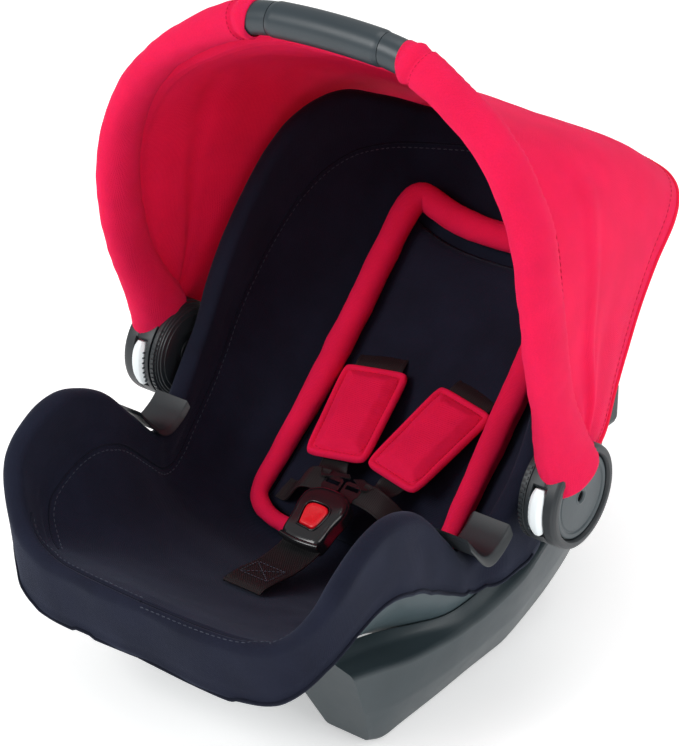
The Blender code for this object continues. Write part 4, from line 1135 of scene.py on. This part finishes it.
def make_straps():
    crotch = [(0, -158, 94), (0, -150, 95.5), (0, -132, 93.5), (0, -110, 90), buckle_point(0, -31, -2),
              buckle_point(0, -19, -2)]
    path, side, up = ribbon("crotch_webbing", crotch, 38, 2.2, "crotch_strap")
    k = 22
    box_stitch("crotch_stitch", path[k], side[k], unit(path[k + 1] - path[k - 1]), up[k], 28, 24, 2.0)
    for side_sign, word in SIDES:
        top = on_cover(SLOT_ROW, side_sign * 48, INSERT_LIFT + 4.5)
        under = np.array((side_sign * 29.0, 4, 120))
        entry = buckle_point(side_sign * 11, 44, -2)
        behind = on_cover(SLOT_ROW + 0.25, side_sign * 48, INSERT_LIFT - 3)
        ribbon(f"shoulder_webbing_{word}", [entry, (entry * 2 + under) / 3, under, (under + top) / 2, top,
                                            behind],
               25, 2.0, f"shoulder_strap_{word}")
        start = buckle_point(side_sign * 17, 38, -2)
        bend = buckle_point(side_sign * 38, 36, -5)
        hip = on_cover(HIP_ROW, side_sign * 66, INSERT_LIFT + 4)
        end = on_cover(HIP_ROW, side_sign * 78, INSERT_LIFT - 3)
        ribbon(f"lap_webbing_{word}", [start, bend, hip, end], 22, 2.0, f"lap_strap_{word}",
               side_axis=ALONG)
        make_pad(side_sign, word, under, top)


def make_pad(side, word, under, top):
    """Shoulder pad: a stuffed sleeve with a sewn border and a black strap end at its top."""
    low = np.array((side * 28.5, 6, 122))
    high = np.array((side * 47.0, 94, 164))
    along = unit(high - low)
    lift = unit(np.cross((1, 0, 0), along))
    lift = lift if lift[2] > 0 else -lift
    across = unit(np.cross(along, lift))
    across = across if across[0] > 0 else -across
    middle, half_long, half_wide = (low + high) / 2 + lift * 5.0, np.linalg.norm(high - low) / 2, 30.8
    rows, columns = 61, 41
    s = np.linspace(-1, 1, columns)[None]
    t = np.linspace(-1, 1, rows)[:, None]
    corner = 1 - 0.10 * np.abs(t) ** 10
    x = s * half_wide * corner * (1 + 0.035 * t)
    y = t * half_long * (1 - 0.05 * np.abs(s) ** 8)
    border_x, border_y = half_wide - np.abs(s) * half_wide, half_long - np.abs(t) * half_long
    inset = np.minimum(border_x + 0 * t, border_y + 0 * s)
    puff = 0.7 + 3.1 * np.sqrt(np.clip(inset / 3.0, 0, 1) * (2 - np.clip(inset / 3.0, 0, 1)))
    puff = puff + 4.2 * smooth_step(inset, 6.5, 17)
    puff -= 2.0 * ridge(inset - 6.5, 1.7)
    faces_out = []
    for sign in (1, -1):
        grid = (middle + across * x[:, :, None] + along * y[:, :, None]
                + lift * (sign * puff * (1.0 if sign > 0 else 0.55))[:, :, None])
        flat = grid.reshape(-1, 3)
        soft = (0.8 * cloud(flat, (20, 20, 20), 4.0 + side) + 0.35
                * cloud(flat, (7, 7, 7), 1.0)).reshape(rows, columns)
        grid = grid + lift * (soft * smooth_step(inset, 0, 6) * sign)[:, :, None]
        faces_out.append(grid)
    rim_ring = [(0, c) for c in range(columns)] + [(r, columns - 1) for r in range(1, rows)]
    rim_ring += ([(rows - 1, c) for c in range(columns - 2, -1, -1)]
                 + [(r, 0) for r in range(rows - 2, 0, -1)])
    count = rows * columns
    faces = grid_faces(rows, columns) + [tuple(count + i for i in f) for f in grid_faces(rows, columns)]
    for (r, c), (q, d) in zip(rim_ring, rim_ring[1:] + rim_ring[:1]):
        faces.append((r * columns + c, q * columns + d, count + q * columns + d, count + r * columns + c))
    points = np.concatenate([g.reshape(-1, 3) for g in faces_out])
    pad = add_mesh(f"pad_fabric_{word}", points, faces, FABRIC_RED, "seat_body", sharp=80)
    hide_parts(f"shoulder_pad_{word}")
    ring = np.array([middle + across * x[r, c] * (1 - 6.5 / half_wide) + along * y[r, c]
                     * (1 - 6.5 / half_long)
                     for r, c in rim_ring])
    tree = surface_of(pad)
    on, normals = drop_on(tree, ring, np.broadcast_to(lift, ring.shape), start=12.0, lift=0.15)
    thread = stitches(f"pad_stitches_{word}", on, normals, THREAD_RED, "seat_body", 2.6, 1.2, 0.7, 0.4)
    tab_start = high + lift * 3.0 - along * 6
    ribbon(f"pad_tab_{word}", [tab_start, high + lift * 4.0 + along * 6, high + lift * 2 + along * 17],
           46, 2.6,
                 None, side_axis=across)


def make_buckle():
    outline = even([(-19, -27), (0, -28.5), (19, -27), (22.5, -20), (23.5, -4), (26, 10), (23.5, 21),
                    (13, 27.5),
                    (0, 29), (-13, 27.5), (-23.5, 21), (-26, 10), (-23.5, -4), (-22.5, -20)], 72,
                    closed=True)
    levels = ((-9, 0.86), (-8.6, 0.93), (-7.5, 0.985), (-5.5, 1.0), (3, 1.0), (5.8, 0.985), (7.6, 0.945),
              (8.9, 0.87), (9.4, 0.78), (9.5, 0.5))
    rings = [[buckle_point(x * s * BUCKLE_SLIM, a * s, up) for x, a in outline] for up, s in levels]
    housing = add_grid("buckle_case", rings, GLOSS, None, wrap_columns=True, caps=True, sharp=50)
    well = even([(-9.6, -13), (0, -13.6), (9.6, -13), (12.2, 3), (11, 9), (6, 11.4), (-6, 11.4), (-11, 9),
                 (-12.2, 3)],
                40, closed=True)
    rings = [[buckle_point(x, a - 1, up) for x, a in well] for up in (1.6, 14)]
    cut(housing, add_grid("well_cutter", rings, GLOSS, None, wrap_columns=True, caps=True))
    for side in (1, -1):
        rings = [[buckle_point(side * 10 + x, a, up)
                  for x, up in ((-7.6, -4), (7.6, -4), (7.6, 0), (-7.6, 0))]
                 for a in (9, 34)]
        cut(housing, add_grid("slot_cutter", rings, GLOSS, None, wrap_columns=True, caps=True))
    rounding = housing.modifiers.new("rounding", "BEVEL")
    rounding.width = 0.5 * MM
    rounding.segments = 2
    rounding.limit_method = "ANGLE"
    rounding.angle_limit = math.radians(50)
    housing.data.set_sharp_from_angle(angle=math.radians(50))
    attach(housing, "seat_body")
    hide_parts("buckle_housing")

    cap = even([(-7.6, -11), (0, -11.6), (7.6, -11), (10.6, 3), (9.6, 8), (5, 10.4), (-5, 10.4), (-9.6, 8),
                (-10.6, 3)], 48, closed=True)
    levels = ((4.2, 1.0), (9.6, 1.0), (10.5, 0.95), (10.8, 0.86), (10.3, 0.6), (10.1, 0.2))
    rings = [[buckle_point(x * s, a * s - 1, up) for x, a in cap] for up, s in levels]
    button = add_grid("button_cap", rings, BUTTON_RED, "buckle_button", wrap_columns=True, caps=True,
                      sharp=50)
    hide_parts("buckle_button")
    frame_path = [buckle_point(x * 1.16, a * 1.16 - 1, 9.7) for x, a in cap]
    bezel = tube("button_bezel", frame_path, 0.9, GLOSS, "seat_body", sides=8, closed=True,
                 lift=tuple(FACE))
    lip = [buckle_point(x, -25 - 2.5 * (1 - (x / 20) ** 2), 5.5 + 1.5 * (1 - (x / 20) ** 2))
           for x in np.linspace(-19, 19, 30)]
    lower = tube("buckle_lip", lip, 2.6, GLOSS, "seat_body", sides=12, lift=tuple(FACE))


# ------------------------------------------------------------------ CAD nodes that stay in view
def dress_cad():
    looks = {"rear_belt_hook": DARK, "rear_bracket": SHELL, "splitter_plate": STEEL, "adjuster_body": STEEL,
             "adjuster_lever": GRIP, "adjuster_web": WEBBING}
    for _, word in SIDES:
        looks.update({f"hub_axle_{word}": STEEL, f"lock_gear_{word}": STEEL, f"lock_spring_{word}": STEEL,
                      f"hub_bracket_{word}": SHELL, f"rear_web_{word}": WEBBING,
                      f"buckle_tongue_{word}": GLOSS})
    for name, material in looks.items():
        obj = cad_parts[name]
        obj.data.materials.clear()
        obj.data.materials.append(material)
        if name.startswith(("rear_b", "buckle_tongue", "splitter", "adjuster_b", "adjuster_l",
                            "hub_bracket")):
            rounding = obj.modifiers.new("rounding", "BEVEL")
            rounding.width = 0.6 * MM
            rounding.segments = 3
            rounding.limit_method = "ANGLE"
            rounding.angle_limit = math.radians(40)


# ------------------------------------------------------------------ studio
def make_studio():
    bpy.ops.mesh.primitive_plane_add(size=14, location=(0, 0, -0.0005))
    floor = bpy.context.object
    floor.name = "studio_floor"
    shader = Shader("pale_floor", 0.9)
    shader.surface.inputs["Base Color"].default_value = (0.94, 0.94, 0.94, 1)
    shader.surface.inputs["Emission Color"].default_value = (1, 1, 1, 1)
    shader.surface.inputs["Emission Strength"].default_value = FLOOR_GLOW
    floor.data.materials.append(shader.material)
    world = bpy.data.worlds.new("studio")
    bpy.context.scene.world = world
    world.use_nodes = True
    background = world.node_tree.nodes["Background"]
    background.inputs["Color"].default_value = (1.0, 1.0, 1.0, 1)
    background.inputs["Strength"].default_value = WORLD_STRENGTH

    def area(name, at, target, size, power):
        data = bpy.data.lights.new(name, "AREA")
        data.size = size
        data.energy = power
        lamp = bpy.data.objects.new(name, data)
        lamp.location = at
        lamp.rotation_euler = (Vector(at) - Vector(target)).to_track_quat("Z", "Y").to_euler()
        bpy.context.scene.collection.objects.link(lamp)

    centre = (0.0, 0.0, 0.25)
    area("key_light", (-0.9, -2.2, 1.9), centre, 1.2, 38)
    area("side_light", (2.2, -0.3, 1.2), centre, 1.4, 16)
    area("top_light", (0.1, 0.6, 2.6), centre, 1.6, 17)


def make_camera():
    a, e = CAMERA_AZIMUTH, CAMERA_ELEVATION
    right = Vector((math.cos(a), math.sin(a), 0))
    up = Vector((-math.sin(a) * math.sin(e), math.cos(a) * math.sin(e), math.cos(e)))
    back = Vector((math.sin(a) * math.cos(e), -math.cos(a) * math.cos(e), math.sin(e)))
    data = bpy.data.cameras.new("camera")
    data.lens = CAMERA_LENS
    data.clip_end = 30
    camera = bpy.data.objects.new("camera", data)
    turn = Matrix((right, up, back)).transposed()
    camera.matrix_world = Matrix.Translation(CAMERA_AT) @ turn.to_4x4()
    bpy.context.scene.collection.objects.link(camera)
    bpy.context.scene.camera = camera


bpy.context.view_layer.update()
bpy.context.scene.view_settings.view_transform = "Standard"
make_camera()
make_studio()
cover_piece = make_cover()
make_cover_seams(cover_piece)
make_rockers(make_shell())
make_liner()
make_hubs()
make_belt_guides()
make_handle()
make_sleeves()
make_canopy()
make_insert()
make_straps()
make_buckle()
dress_cad()
